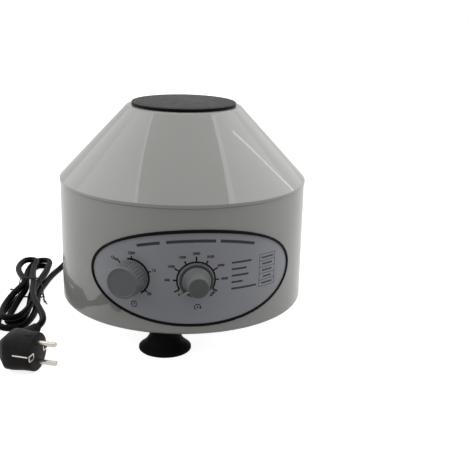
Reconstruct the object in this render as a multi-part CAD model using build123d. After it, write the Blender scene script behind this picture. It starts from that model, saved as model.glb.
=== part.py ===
from build123d import *
import math
import os

# Bench centrifuge with a conical cover and a lift-off lid: a six-hole angle rotor spins on a motor
# that stands on rubber dampers, with the mains parts round it, and two knobs turn on an oval panel.
# The Z axis is the spin axis and z = 0 is the bench. The oval panel looks along -Y, and an azimuth
# is an angle in degrees about Z, measured from -Y towards +X. All sizes are millimetres.

# Housing
body_radius = 130.0
wall = 3.0
foot_height = 24.0
shoulder_height = 155.4
cover_top = 230.6
rim_radius = 60.0  # where the cone's line meets the cover's top
cover_lip = 0.6  # how far the cover's edge stands out past the lower housing
cover_edge = 3.4  # height of the cover's upright edge
seam_chamfer = 0.5
shoulder_round = 2.5
bottom_round = 5.0
flange_width = 18.5  # the turned-in floor flange of the lower housing
spigot_height = 2.4
spigot_wall = 2.0
pad_radius = 14.0  # flat seats inside the round wall, for the knobs' bushes
small_pad_radius = 11.0  # the same, for the fuse and the cord
pad_depth = 2.4
seat_bore = 6.5

# Mouth and lid
mouth_radius = 51.0
collar_depth = 8.0
rim_round = 4.0
lid_overhang = 3.8
lid_edge = 2.6
lid_crown = 1.2
lid_chamfer = 0.8
lid_groove_inset = 5.3
lid_groove_half = 1.6
lid_groove = 0.5
lid_spigot_depth = 4.5
lid_spigot_wall = 2.2
lid_play = 0.8

# Floor plate and feet
plate = 2.0
foot_inset = 25.0
plate_inset = 10.0
foot_turn = -15.0  # azimuth of the foot that shows in front
foot_radius = 26.3
foot_neck = 13.2
foot_rim = 2.6
cup_depth = 3.4
cup_radius = 22.3
stud_radius = 3.0
stud_depth = 12.0  # how far a stud reaches down into its foot
stud_end = 1.5  # how far it stands past its nut
foot_nut_across = 10.0
foot_nut_thick = 5.0
vent_count = 8
vent_length = 22.0
vent_width = 4.0
vent_circle = 32.0

# Panel
panel_height = 83.1
panel_half_width = 110.2  # measured round the housing
panel_half_height = 48.8
trim_width = 2.8
trim_stand = 2.8
panel_thick = 1.5

# Knobs
knob_height = 81.9
timer_inset = 47.0  # round the housing, from the panel's left end to the timer's axis
speed_azimuth = 0.0
knob_gap = 0.6
spindle_radius = 3.0
spindle_play = 0.05
bush_radius = 5.0
bush_end = 5.0  # how far the bush reaches out past the housing
nut_across = 14.0
nut_thick = 2.5
timer_knob_radius = 16.8
timer_collar_radius = 15.8
timer_face_radius = 15.2
timer_face_stand = 22.0
timer_edge = 0.9  # bevel round the face
timer_band = 2.4  # smooth band below the face
timer_flutes = 30
speed_skirt_radius = 16.8
speed_barrel_radius = 12.2
speed_face_radius = 9.5
speed_face_stand = 24.5
speed_skirt_thick = 1.8
speed_stop = -135.0  # where the pointer stands at rest, clockwise from the top, seen from in front
pointer_width = 1.4
knob_bore_depth = 12.0
nut_room_radius = 9.6
nut_room_depth = 5.0
timer_body_radius = 18.5
timer_body_depth = 27.0
pot_radius = 12.0
pot_depth = 14.0
board_thick = 1.6
board_width = 56.0
board_height = 36.0
sink_width = 22.0
sink_height = 24.0
sink_depth = 16.0
sink_base = 3.0
fin_step = 5.0

# Rotor
hole_count = 6
tube_circle = 38.0  # radius at which the tubes' axes cross the sleeves' rims
rim_drop = 26.6  # from the cover's top down to the sleeves' rims
sleeve_side = 14.35  # from the bowl's wall to the middle of a sleeve's end
sleeve_rise = 14.81  # the same, from the bowl's floor
sleeve_bore = 10.8
sleeve_wall = 1.6
sleeve_flange = 14.4
flange_thick = 2.5
sleeve_play = 0.15
seat_play = 0.4
head_edge = 2.5  # material outside the seats, at the head's upper edge
head_face = 7.0
head_chamfer = 1.0
skirt_wall = 3.0
skirt_length = 58.0
guide_wall = 2.6
guide_length = 44.0
hub_radius = 14.0
hub_rise = 37.0  # from the bowl's floor to the hub
hub_drop = 14.0  # from the sleeves' rims down to the hub's upper face
rotor_nut_across = 14.0
rotor_nut_height = 9.0
collar_radius = 8.0
collar_thick = 4.0

# Chamber bowl
bowl_room = 15.0  # from the housing's inner face to the bowl's
bowl_wall = 1.2
bowl_floor = 104.0
bowl_above = 2.6  # how far the bowl's rim stands above the cone's start
bowl_bead = 1.0
bowl_round = 10.0
bowl_hole = 17.0
pillar_radius = 5.0
pillar_inset = 20.0
pillar_azimuths = (52.0, 128.0, 232.0, 308.0)

# Motor
shaft_radius = 4.0
shaft_play = 0.05
shaft_bottom = 31.0
motor_radius = 45.0
can_wall = 2.0
can_bottom = 47.0
can_top = 93.0
bell_thick = 4.0
bell_boss = 15.0
lower_boss_bottom = 30.0
upper_boss_top = 110.0
bearing_radius = 11.0
bearing_width = 7.0
bearing_lip = 2.0
core_bottom = 64.0
core_height = 20.0
yoke_radius = 37.0  # inside of the stator's ring
pole_half_angle = 52.0
pole_neck = 20.0
shoe_thick = 4.0
coil_thick = 5.3
coil_end = 6.0
armature_radius = 24.0
armature_slots = 12
winding_radius = 19.0
winding_end = 6.0
air_gap = 0.5
commutator_radius = 11.0
commutator_bottom = 47.6
commutator_height = 9.0
brush_height = 52.1
brush_width = 5.0
brush_tall = 6.0
brush_length = 16.0
holder_wall = 1.4
motor_plate_radius = 66.0
motor_plate_thick = 3.0
motor_plate_height = 40.0
damper_circle = 56.0
damper_radius = 8.0
damper_count = 3

# Rear parts
gland_azimuth = -150.0
gland_height = 50.0
gland_reach = 32.0
fuse_azimuth = 178.0
fuse_height = 52.0
fuse_depth = 30.0
fuse_radius = 5.5
fuse_collar = 8.5
fuse_collar_thick = 2.0
fuse_cap_radius = 6.2
fuse_cap_top = 5.8
fuse_cap_length = 6.0
fuse_slot = 1.2
flange_radius = 9.0  # of the fuse holder's and the cord grip's nuts and flanges
flange_deep = 3.0
gland_flange = 2.5
gland_root = 7.2
gland_tip = 4.8
gland_ribs = 5
capacitor_azimuth = 150.0
capacitor_radius = 10.0
capacitor_height = 25.0
terminal_azimuth = -154.0
terminal_width = 42.0
terminal_depth = 16.0
terminal_back = 10.0
terminal_low = 8.0
terminal_high = 15.0
terminal_hole = 2.6
terminal_step = 14.0

# Cord, its hank and the plug
cord_radius = 3.5
cord_sides = 8
cord_rest = 3.6  # height of the cord's middle where it lies on the bench
cord_drop_run = 14.5
cord_drop_turn = 27.0
cord_drop_heights = (50.0, 43.0, 28.0, 12.5, 4.6)
hank_place = (-169.7, 52.4)
hank_turn = -9.4
hank_step = 7.8  # from one layer of the hank to the next
hank_nest = 7.0  # the same at the waist, where the strands nest
hank_lift = 0.8  # room for the tie below the waist
hank_columns = 8.2
plug_place = (-149.5, -141.8, 18.8)
plug_turn = -23.4
plug_radius = 18.5
plug_depth = 42.0
plug_boss_back = 28.0
plug_boss_reach = 26.0
relief_length = 26.0
pin_radius = 2.4
pin_length = 19.0
pin_spacing = 19.0

# Screws
screw_radius = 2.0
screw_head_radius = 4.0
screw_head = 2.4
screw_length = 8.0
screw_play = 0.2
screw_inset = 14.5

clearance = 0.3
parts = {}


def radial(azimuth):
    """Unit vector that points outwards at an azimuth."""
    angle = math.radians(azimuth)
    return Vector(math.sin(angle), -math.cos(angle), 0)


def around(azimuth, distance, height):
    """Upright place at an azimuth, a distance from the spin axis and a height."""
    spot = radial(azimuth) * distance
    return Pos(spot.X, spot.Y, height) * Rot(0, 0, azimuth)


def outwards(azimuth, height):
    """Place on the spin axis whose z runs outwards, so z is the distance from the spin axis."""
    plane = Plane(origin=(0, 0, height), x_dir=radial(azimuth + 90), z_dir=radial(azimuth))
    return plane.location


def spread(count, start=0.0):
    """Evenly spaced azimuths."""
    return [start + 360.0 / count * index for index in range(count)]


def turned(corners, rounds=None):
    """Solid of revolution from (radius, height) corners, with radii at some of the corners."""
    radii = [(rounds or {}).get(index, 0.0) for index in range(len(corners))]
    outline = FilletPolyline(*corners, radius=radii, close=True)
    return revolve(Plane.XZ * make_face(outline), Axis.Z)


def rod(radius, low, high):
    """Round bar along z."""
    return Pos(0, 0, (low + high) / 2) * Cylinder(radius, high - low)


def tube(outer, inner, low, high):
    """Round tube along z."""
    return rod(outer, low, high) - rod(inner, low, high)


def block(width, depth, low, high):
    """Box along z with its middle on the axis."""
    return Pos(0, 0, (low + high) / 2) * Box(width, depth, high - low)


def nut(across, bore, low, high):
    """Hexagon nut along z."""
    outline = RegularPolygon(across / 2, 6, major_radius=False)
    return extrude(Pos(0, 0, low) * outline, high - low) - rod(bore, low, high)


def joined(shapes):
    """One shape from separate solids that stay apart."""
    return Compound([solid for shape in shapes for solid in shape.solids()])


def screw(length):
    """Hexagon screw along z: its shank ends at z = length, and its head lies below z = 0."""
    head = extrude(Pos(0, 0, -screw_head) * RegularPolygon(screw_head_radius, 6), screw_head)
    return head + rod(screw_radius, -screw_head / 2, length)


# The cone's outer line runs from the upright edge to the rim of the mouth.
cover_radius = body_radius + cover_lip
edge_bottom = shoulder_height - cover_edge
cone_slope = (cover_radius - rim_radius) / (cover_top - shoulder_height)
cone_offset = wall * math.hypot(1, cone_slope)
inner_radius = body_radius - wall
timer_azimuth = -math.degrees((panel_half_width - timer_inset) / body_radius)
screw_circle = body_radius - screw_inset
foot_circle = body_radius - foot_inset


def cone_inside(height):
    """Radius of the cover's inner face at a height."""
    return cover_radius - (height - shoulder_height) * cone_slope - cone_offset


def cone_inside_height(radius):
    """Height of the cover's inner face at a radius."""
    return shoulder_height + (cover_radius - cone_offset - radius) / cone_slope


# Screws that hold the cover from below, in lugs of the lower housing
cover_screw_azimuths = (40.0, 140.0, 220.0, 320.0)
lug_radius = 5.0
lug_thick = 4.0
lug_circle = inner_radius - clearance - spigot_wall - lug_radius

# Top cover
collar_outside = mouth_radius + wall * 0.8
top_cover = turned(
    [
        (cover_radius - seam_chamfer, edge_bottom),
        (cover_radius, edge_bottom + seam_chamfer),
        (cover_radius, shoulder_height),
        (rim_radius, cover_top),
        (mouth_radius, cover_top),
        (mouth_radius, cover_top - collar_depth),
        (collar_outside, cover_top - collar_depth),
        (collar_outside, cover_top - wall),
        (cone_inside(cover_top - wall), cover_top - wall),
        (inner_radius, cone_inside_height(inner_radius)),
        (inner_radius, edge_bottom),
    ],
    {2: shoulder_round, 3: rim_round},
)
cone_room = turned(
    [
        (0, edge_bottom),
        (inner_radius + wall / 2, edge_bottom),
        (inner_radius + wall / 2, cone_inside_height(inner_radius)),
        (mouth_radius, cone_inside_height(mouth_radius) + wall / 2),
        (0, cone_inside_height(mouth_radius) + wall / 2),
    ]
)
for azimuth in cover_screw_azimuths:
    top_cover += (around(azimuth, lug_circle, 0) * rod(lug_radius, edge_bottom, cover_top)) & cone_room
    top_cover -= around(azimuth, lug_circle, 0) * rod(screw_radius, 0, edge_bottom + screw_length)
parts["top_cover"] = top_cover

# Lower housing: drum, floor flange, spigot into the cover, lugs and flat seats
flange_inside = body_radius - flange_width
flange_top = foot_height + plate + wall
plate_seat = body_radius - plate_inset
spigot_outside = inner_radius - clearance
lower_housing = turned(
    [
        (plate_seat, foot_height),
        (body_radius, foot_height),
        (body_radius, edge_bottom),
        (spigot_outside, edge_bottom),
        (spigot_outside, edge_bottom + spigot_height),
        (spigot_outside - spigot_wall, edge_bottom + spigot_height),
        (spigot_outside - spigot_wall, edge_bottom - spigot_height),
        (inner_radius, edge_bottom - spigot_height * 2),
        (inner_radius, flange_top),
        (flange_inside, flange_top),
        (flange_inside, foot_height + plate),
        (plate_seat, foot_height + plate),
    ],
    {1: bottom_round},
)
inside = rod(inner_radius + wall / 2, 0, edge_bottom)
for azimuth in cover_screw_azimuths:
    lug = rod(lug_radius, edge_bottom - lug_thick, edge_bottom)
    lug += Pos(0, -lug_radius, 0) * block(lug_radius * 2, lug_radius * 2, edge_bottom - lug_thick, edge_bottom)
    lower_housing += (around(azimuth, lug_circle, 0) * lug) & inside
    hole = rod(screw_radius + screw_play, edge_bottom - lug_thick, edge_bottom + spigot_height)
    lower_housing -= around(azimuth, lug_circle, 0) * hole
seat = inner_radius - pad_depth
seats = [(timer_azimuth, knob_height, pad_radius, bush_radius + clearance)]
seats += [(speed_azimuth, knob_height, pad_radius, bush_radius + clearance)]
seats += [(gland_azimuth, gland_height, small_pad_radius, seat_bore)]
seats += [(fuse_azimuth, fuse_height, small_pad_radius, seat_bore)]
for azimuth, height, radius, bore in seats:
    lower_housing += outwards(azimuth, height) * rod(radius, seat, inner_radius + wall / 2) & inside
    lower_housing -= outwards(azimuth, height) * rod(bore, seat - 1, body_radius + wall)
for azimuth in spread(3, foot_turn + 60):
    hole = rod(screw_radius, foot_height, flange_top)
    lower_housing -= around(azimuth, screw_circle, 0) * hole
parts["lower_housing"] = lower_housing

# Base plate with holes for the feet, the housing, the dampers and the pillars
plate_top = foot_height + plate
bowl_radius = inner_radius - bowl_room
pillar_circle = bowl_radius - pillar_inset
base_plate = rod(plate_seat - clearance, foot_height, plate_top)
holes = [(azimuth, foot_circle, stud_radius) for azimuth in spread(3, foot_turn)]
holes += [(azimuth, screw_circle, screw_radius) for azimuth in spread(3, foot_turn + 60)]
holes += [(azimuth, damper_circle, screw_radius) for azimuth in spread(damper_count, 60)]
holes += [(azimuth, pillar_circle, screw_radius) for azimuth in pillar_azimuths]
for azimuth, circle, radius in holes:
    hole = rod(radius + screw_play, foot_height, plate_top)
    base_plate -= around(azimuth, circle, 0) * hole
for azimuth in spread(vent_count):
    vent = Rot(0, 0, 90) * SlotOverall(vent_length, vent_width)
    base_plate -= around(azimuth, vent_circle, foot_height) * extrude(vent, plate)
parts["base_plate"] = base_plate

# Screws of the housing: three through the base plate, four through the lugs
housing_screws = []
for azimuth in spread(3, foot_turn + 60):
    housing_screws.append(around(azimuth, screw_circle, foot_height) * screw(screw_length))
for azimuth in cover_screw_azimuths:
    housing_screws.append(around(azimuth, lug_circle, edge_bottom - lug_thick) * screw(screw_length))
parts["housing_screws"] = joined(housing_screws)

# Suction feet, their studs and nuts
foot = turned(
    [
        (0, cup_depth),
        (cup_radius - cup_depth, cup_depth),
        (cup_radius, 0),
        (foot_radius - 0.8, 0),
        (foot_radius, 0.8),
        (foot_radius, foot_rim),
        (foot_neck + 5.6, 8.6),
        (foot_neck, 19.0),
        (foot_neck, foot_height),
        (0, foot_height),
    ],
)
foot -= rod(stud_radius, foot_height - stud_depth, foot_height)
foot_names = ("foot_front", "foot_right", "foot_left")
studs = []
foot_nuts = []
nut_top = plate_top + foot_nut_thick
for name, azimuth in zip(foot_names, spread(3, foot_turn)):
    parts[name] = around(azimuth, foot_circle, 0) * foot
    stud = rod(stud_radius, foot_height - stud_depth, nut_top + stud_end)
    studs.append(around(azimuth, foot_circle, 0) * stud)
    foot_nut = nut(foot_nut_across, stud_radius, plate_top, nut_top)
    foot_nuts.append(around(azimuth, foot_circle, 0) * foot_nut)
parts["foot_studs"] = joined(studs)
parts["foot_nuts"] = joined(foot_nuts)


def panel_blank(inset, stand):
    """Oval laid round the housing: a curved plate from the housing's face outwards."""
    half_width = panel_half_width - inset
    half_height = panel_half_height - inset
    points = []
    for step in range(24):
        angle = math.radians(step * 15)
        turn = half_width * math.cos(angle) / body_radius
        points.append((body_radius * math.sin(turn), half_height * math.sin(angle)))
    outline = Plane(origin=(0, 0, panel_height), x_dir=(1, 0, 0), z_dir=(0, -1, 0))
    oval = extrude(outline * make_face(Spline(*points, periodic=True)), body_radius + stand)
    return oval & tube(body_radius + stand, body_radius, 0, cover_top)


# Panel plate and its raised trim
panel_plate = panel_blank(trim_width, panel_thick)
panel_trim = panel_blank(0, trim_stand) - panel_blank(trim_width, trim_stand)
for azimuth in (timer_azimuth, speed_azimuth):
    hole = rod(bush_radius + clearance, body_radius - wall, body_radius + wall)
    panel_plate -= outwards(azimuth, knob_height) * hole
parts["panel_plate"] = panel_plate
parts["panel_trim"] = panel_trim

# Timer mechanism and its nut
bush_top = body_radius + bush_end
spindle_bore = spindle_radius + spindle_play
timer_mechanism = turned(
    [
        (0, seat - timer_body_depth),
        (timer_body_radius, seat - timer_body_depth),
        (timer_body_radius, seat - 1.6),
        (timer_body_radius + 1.5, seat - 1.6),
        (timer_body_radius + 1.5, seat),
        (bush_radius, seat),
        (bush_radius, bush_top),
        (spindle_bore, bush_top),
        (spindle_bore, seat - knob_bore_depth),
        (0, seat - knob_bore_depth),
    ],
)
for side in (-9, 0, 9):
    tab = Pos(side, 0, 0) * block(6.3, 0.8, seat - timer_body_depth - 8, seat - timer_body_depth)
    timer_mechanism += tab
parts["timer_mechanism"] = outwards(timer_azimuth, knob_height) * timer_mechanism
panel_face = body_radius + panel_thick
bush_nut = nut(nut_across, bush_radius, panel_face, panel_face + nut_thick)
parts["timer_nut"] = outwards(timer_azimuth, knob_height) * bush_nut

# Speed control, its nut, and the control board on its back
speed_control = turned(
    [
        (0, seat - pot_depth),
        (pot_radius, seat - pot_depth),
        (pot_radius, seat),
        (bush_radius, seat),
        (bush_radius, bush_top),
        (spindle_bore, bush_top),
        (spindle_bore, seat - knob_bore_depth),
        (0, seat - knob_bore_depth),
    ]
)
parts["speed_control"] = outwards(speed_azimuth, knob_height) * speed_control
parts["speed_control_nut"] = outwards(speed_azimuth, knob_height) * bush_nut
board_face = seat - pot_depth
board_back = board_face - board_thick
control_board = block(board_width, board_height, board_back, board_face)
parts["control_board"] = outwards(speed_azimuth, knob_height) * control_board
heat_sink = block(sink_width, sink_height, board_back - sink_depth, board_back)
for index in (-1.5, -0.5, 0.5, 1.5):
    gap = block(fin_step * 0.6, sink_height, board_back - sink_depth, board_back - sink_base)
    heat_sink -= Pos(fin_step * index, 0, 0) * gap
sink_place = Pos(board_width / 4, 0, 0)
parts["heat_sink"] = outwards(speed_azimuth, knob_height) * sink_place * heat_sink


def knob_hollow():
    """Room under a knob: the nut's room and the spindle's bore."""
    return rod(nut_room_radius, 0, nut_room_depth) + rod(spindle_radius, 0, knob_bore_depth)


# Timer knob: a tapered skirt with flutes and a smooth collar
knob_base = body_radius + panel_thick + knob_gap
timer_depth = timer_face_stand - panel_thick - knob_gap
timer_knob = turned(
    [
        (0, 0),
        (timer_knob_radius, 0),
        (timer_knob_radius, 1.6),
        (timer_collar_radius, timer_depth - timer_edge),
        (timer_face_radius, timer_depth),
        (0, timer_depth),
    ],
)
flute_lean = math.degrees(
    math.atan2(timer_knob_radius - timer_collar_radius, timer_depth - timer_edge - 1.6)
)
flute_length = timer_depth - timer_band - 1.6
flute = Rot(0, 0, 45) * Box(1.3, 1.3, flute_length, align=(Align.CENTER, Align.CENTER, Align.MIN))
flutes = []
for azimuth in spread(timer_flutes):
    place = Rot(0, 0, azimuth) * Pos(0, -timer_knob_radius - 0.1, 1.6) * Rot(-flute_lean, 0, 0)
    flutes.append(place * flute)
timer_knob -= flutes
timer_knob -= knob_hollow()
knob_place = Pos(0, 0, knob_base)
parts["timer_knob"] = outwards(timer_azimuth, knob_height) * knob_place * timer_knob
spindle = rod(spindle_radius, seat - knob_bore_depth + 0.4, knob_base + knob_bore_depth)
parts["timer_spindle"] = outwards(timer_azimuth, knob_height) * spindle

# Speed knob: a thin skirt that sweeps up into a barrel, with a pointer
speed_depth = speed_face_stand - panel_thick - knob_gap
speed_knob = turned(
    [
        (0, 0),
        (speed_skirt_radius, 0),
        (speed_skirt_radius, speed_skirt_thick),
        (speed_barrel_radius + 1.6, speed_skirt_thick + 1.0),
        (speed_barrel_radius - 0.3, speed_skirt_thick + 3.2),
        (speed_face_radius + 0.4, speed_depth - 0.6),
        (speed_face_radius - 0.4, speed_depth),
        (0, speed_depth),
    ],
)
pointer_length = speed_skirt_radius - speed_barrel_radius
pointer = Box(pointer_width, pointer_length, speed_skirt_thick + 1.4)
pointer = Pos(0, speed_barrel_radius + pointer_length / 2 - 0.3, speed_skirt_thick / 2 + 0.7) * pointer
speed_knob += Rot(0, 0, -speed_stop) * pointer
speed_knob -= knob_hollow()
parts["speed_knob"] = outwards(speed_azimuth, knob_height) * knob_place * speed_knob
parts["speed_spindle"] = outwards(speed_azimuth, knob_height) * spindle

# Lid: a crowned disc with a groove inside its rim and a spigot that drops into the mouth
lid_bottom = cover_top + clearance
lid_top = lid_bottom + lid_edge
spigot_radius = mouth_radius - lid_play
lid_radius = mouth_radius + lid_overhang
groove_radius = lid_radius - lid_groove_inset
parts["lid"] = turned(
    [
        (0, lid_bottom),
        (spigot_radius - lid_spigot_wall, lid_bottom),
        (spigot_radius - lid_spigot_wall, lid_bottom - lid_spigot_depth),
        (spigot_radius, lid_bottom - lid_spigot_depth),
        (spigot_radius, lid_bottom),
        (lid_radius, lid_bottom),
        (lid_radius, lid_top - lid_chamfer),
        (lid_radius - lid_chamfer, lid_top),
        (groove_radius + lid_groove_half, lid_top),
        (groove_radius, lid_top - lid_groove),
        (groove_radius - lid_groove_half, lid_top),
        (groove_radius / 2, lid_top + lid_crown * 0.75),
        (0, lid_top + lid_crown),
    ],
)

# Angle rotor: a tube's axis runs from the sleeve's rim down to the middle of the sleeve's end
rim_height = cover_top - rim_drop
sleeve_out = bowl_radius - sleeve_side - tube_circle
sleeve_down = rim_height - bowl_floor - sleeve_rise
sleeve_length = math.hypot(sleeve_out, sleeve_down)
lean = math.atan2(sleeve_out, sleeve_down)
hub_bottom = bowl_floor + hub_rise
hub_face = rim_height - hub_drop


def tube_place(azimuth):
    """Place of one tube: z runs up and inwards along the tube's axis."""
    spot = radial(azimuth) * tube_circle + Vector(0, 0, rim_height)
    up = radial(azimuth) * -math.sin(lean) + Vector(0, 0, math.cos(lean))
    return Plane(origin=spot, x_dir=radial(azimuth + 90), z_dir=up).location


def head_point(across, down):
    """Point of the head's outline: across the tube's axis outwards, and down along that axis."""
    radius = tube_circle + across * math.cos(lean) + down * math.sin(lean)
    return (radius, rim_height + across * math.sin(lean) - down * math.cos(lean))


def head_across(radius, down):
    """Across value at which the head's outline has a radius."""
    return (radius - tube_circle - down * math.sin(lean)) / math.cos(lean)


sleeve_outside = sleeve_bore + sleeve_wall
seat_radius = sleeve_flange + seat_play
head_reach = seat_radius + head_edge
flat_across = (hub_face - rim_height) / math.sin(lean)
rotor_head = turned(
    [
        (shaft_radius, hub_bottom),
        (shaft_radius, hub_face),
        head_point(flat_across, 0),
        head_point(head_reach - head_chamfer, 0),
        head_point(head_reach, head_chamfer),
        head_point(head_reach, skirt_length),
        head_point(head_reach - skirt_wall, skirt_length),
        head_point(head_reach - skirt_wall, head_face),
        head_point(head_across(hub_radius, head_face), head_face),
        (hub_radius, hub_bottom),
    ],
)
guide_radius = sleeve_outside + sleeve_play + guide_wall
for azimuth in spread(hole_count):
    rotor_head += tube_place(azimuth) * rod(guide_radius, -guide_length, -head_face / 2)
for azimuth in spread(hole_count):
    bore = rod(sleeve_outside + sleeve_play, -guide_length - 20, 1)
    bore += rod(seat_radius, -flange_thick, 20)
    rotor_head -= tube_place(azimuth) * bore
parts["rotor_head"] = rotor_head

# Tube sleeves: flanged cups with round bottoms
tube_sleeve = turned(
    [
        (0, -sleeve_length),
        (sleeve_outside - 6, -sleeve_length),
        (sleeve_outside - 1.5, 3.5 - sleeve_length),
        (sleeve_outside, 9 - sleeve_length),
        (sleeve_outside, -flange_thick),
        (sleeve_flange, -flange_thick),
        (sleeve_flange, 0),
        (sleeve_bore, 0),
        (sleeve_bore, 9 - sleeve_length),
        (sleeve_bore - 5.6, sleeve_wall - sleeve_length),
        (0, sleeve_wall - sleeve_length),
    ],
)
for index, azimuth in enumerate(spread(hole_count)):
    parts[f"tube_sleeve_{index + 1}"] = tube_place(azimuth) * tube_sleeve

# Motor shaft with the collar that carries the rotor, and the nut that holds it down
shaft_top = hub_face + rotor_nut_height - 1.5
motor_shaft = turned(
    [
        (0, shaft_bottom),
        (shaft_radius, shaft_bottom),
        (shaft_radius, hub_bottom - collar_thick),
        (collar_radius, hub_bottom - collar_thick),
        (collar_radius, hub_bottom),
        (shaft_radius, hub_bottom),
        (shaft_radius, shaft_top),
        (0, shaft_top),
    ]
)
parts["motor_shaft"] = motor_shaft
parts["rotor_nut"] = nut(rotor_nut_across, shaft_radius, hub_face, hub_face + rotor_nut_height)

# Armature: a slotted core with its end windings
core_top = core_bottom + core_height
armature = rod(armature_radius, core_bottom, core_top)
slot_cuts = []
for azimuth in spread(armature_slots):
    cut = Pos(0, -armature_radius + 1.5, 0) * block(2.2, 3.4, core_bottom, core_top)
    slot_cuts.append(Rot(0, 0, azimuth) * cut)
armature -= slot_cuts
armature += turned(
    [
        (shaft_radius, core_bottom - winding_end),
        (winding_radius - 3, core_bottom - winding_end),
        (winding_radius, core_bottom),
        (winding_radius, core_top),
        (winding_radius - 3, core_top + winding_end),
        (shaft_radius, core_top + winding_end),
    ],
)
armature -= rod(shaft_radius, 0, cover_top)
parts["armature"] = armature

# Commutator with its bars
commutator_top = commutator_bottom + commutator_height
commutator = tube(commutator_radius, shaft_radius, commutator_bottom, commutator_top)
bar_cuts = []
for azimuth in spread(armature_slots):
    cut = Pos(0, -commutator_radius, 0) * block(0.8, 2, commutator_bottom, commutator_top)
    bar_cuts.append(Rot(0, 0, azimuth) * cut)
parts["commutator"] = commutator - bar_cuts

# Stator core: a ring with two poles, and a coil round each pole
shoe_radius = armature_radius + air_gap
stator_core = tube(motor_radius - can_wall, yoke_radius, core_bottom, core_top)
field_coils = []
for azimuth in (0, 180):
    neck = Pos(0, -(shoe_radius + yoke_radius + 1) / 2, 0)
    neck *= block(pole_neck, yoke_radius + 1 - shoe_radius, core_bottom, core_top)
    shoe = tube(shoe_radius + shoe_thick, shoe_radius, core_bottom, core_top)
    reach = math.radians(pole_half_angle)
    far = 60.0
    wedge = [(0, 0), (-far * math.sin(reach), -far * math.cos(reach))]
    wedge += [(far * math.sin(reach), -far * math.cos(reach))]
    shoe &= extrude(Pos(0, 0, core_bottom) * make_face(Polyline(*wedge, close=True)), core_height)
    pole = neck + shoe - rod(shoe_radius, core_bottom, core_top)
    stator_core += Rot(0, 0, azimuth) * pole
    coil_inside = shoe_radius + shoe_thick
    coil_outside = coil_inside + 4.0
    coil = Pos(0, -(coil_inside + coil_outside) / 2, (core_bottom + core_top) / 2)
    outer = Box(pole_neck + coil_thick * 2, coil_outside - coil_inside, core_height + coil_end * 2)
    coil *= outer - Box(pole_neck, coil_outside, core_height)
    field_coils.append(Rot(0, 0, azimuth) * coil)
parts["stator_core"] = stator_core
parts["field_coils"] = joined(field_coils)

# Motor can, its end bells and the bearings in their bosses
holder_low = brush_height - brush_tall / 2 - holder_wall
holder_high = brush_height + brush_tall / 2 + holder_wall
holder_width = brush_width + holder_wall * 2
motor_can = tube(motor_radius, motor_radius - can_wall, can_bottom, can_top)
for azimuth in (90, 270):
    window = Pos(0, -motor_radius, 0) * block(holder_width, can_wall * 3, holder_low, holder_high)
    motor_can -= Rot(0, 0, azimuth) * window
parts["motor_can"] = motor_can
bell_bottom = can_bottom - bell_thick
bearing_seat = lower_boss_bottom + bearing_lip
parts["motor_lower_bell"] = turned(
    [
        (shaft_radius + 1, lower_boss_bottom),
        (bell_boss, lower_boss_bottom),
        (bell_boss, bell_bottom),
        (motor_radius, bell_bottom),
        (motor_radius, can_bottom),
        (bearing_radius, can_bottom),
        (bearing_radius, bearing_seat),
        (shaft_radius + 1, bearing_seat),
    ],
)
bearing_stop = upper_boss_top - bearing_lip * 2
parts["motor_upper_bell"] = turned(
    [
        (bearing_radius, can_top),
        (motor_radius, can_top),
        (motor_radius, can_top + bell_thick),
        (bell_boss, can_top + bell_thick),
        (bell_boss, upper_boss_top),
        (shaft_radius + 1, upper_boss_top),
        (shaft_radius + 1, bearing_stop),
        (bearing_radius, bearing_stop),
    ],
)


def bearing(low):
    """Ball bearing with a recessed shield on each face."""
    high = low + bearing_width
    inner = shaft_radius + shaft_play
    return turned(
        [
            (inner, low),
            (inner + 2, low),
            (inner + 2, low + 0.4),
            (bearing_radius - 2, low + 0.4),
            (bearing_radius - 2, low),
            (bearing_radius, low),
            (bearing_radius, high),
            (bearing_radius - 2, high),
            (bearing_radius - 2, high - 0.4),
            (inner + 2, high - 0.4),
            (inner + 2, high),
            (inner, high),
        ]
    )


parts["lower_bearing"] = bearing(bearing_seat)
parts["upper_bearing"] = bearing(bearing_stop - bearing_width)

# Carbon brushes in square holders that pass through the can
brush_holders = []
carbon_brushes = []
brush_tip = commutator_radius + clearance
for azimuth in (90, 270):
    place = outwards(azimuth, brush_height)
    holder = block(holder_width, brush_tall + holder_wall * 2, brush_tip + 4, motor_radius + 5)
    holder -= block(brush_width, brush_tall, 0, motor_radius + 3)
    brush_holders.append(place * holder)
    carbon_brushes.append(place * block(brush_width, brush_tall, brush_tip, brush_tip + brush_length))
parts["brush_holders"] = joined(brush_holders)
parts["carbon_brushes"] = joined(carbon_brushes)

# Motor plate, its rubber dampers and their bolts with nuts
plate_low = motor_plate_height
plate_high = motor_plate_height + motor_plate_thick
motor_plate = tube(motor_plate_radius, bell_boss + clearance, plate_low, plate_high)
motor_dampers = []
damper_bolts = []
for azimuth in spread(damper_count, 60):
    hole = rod(screw_radius + screw_play, plate_low, plate_high)
    motor_plate -= around(azimuth, damper_circle, 0) * hole
    damper = turned(
        [
            (screw_radius, plate_top),
            (damper_radius, plate_top),
            (damper_radius, plate_low),
            (screw_radius, plate_low),
        ],
    )
    motor_dampers.append(around(azimuth, damper_circle, 0) * damper)
    bolt = screw(plate_high + 4.2 - foot_height)
    damper_bolts.append(around(azimuth, damper_circle, foot_height) * bolt)
    damper_bolts.append(around(azimuth, damper_circle, 0) * nut(7, screw_radius, plate_high, plate_high + 3.2))
parts["motor_plate"] = motor_plate
parts["motor_dampers"] = joined(motor_dampers)
parts["damper_bolts"] = joined(damper_bolts)

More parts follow.
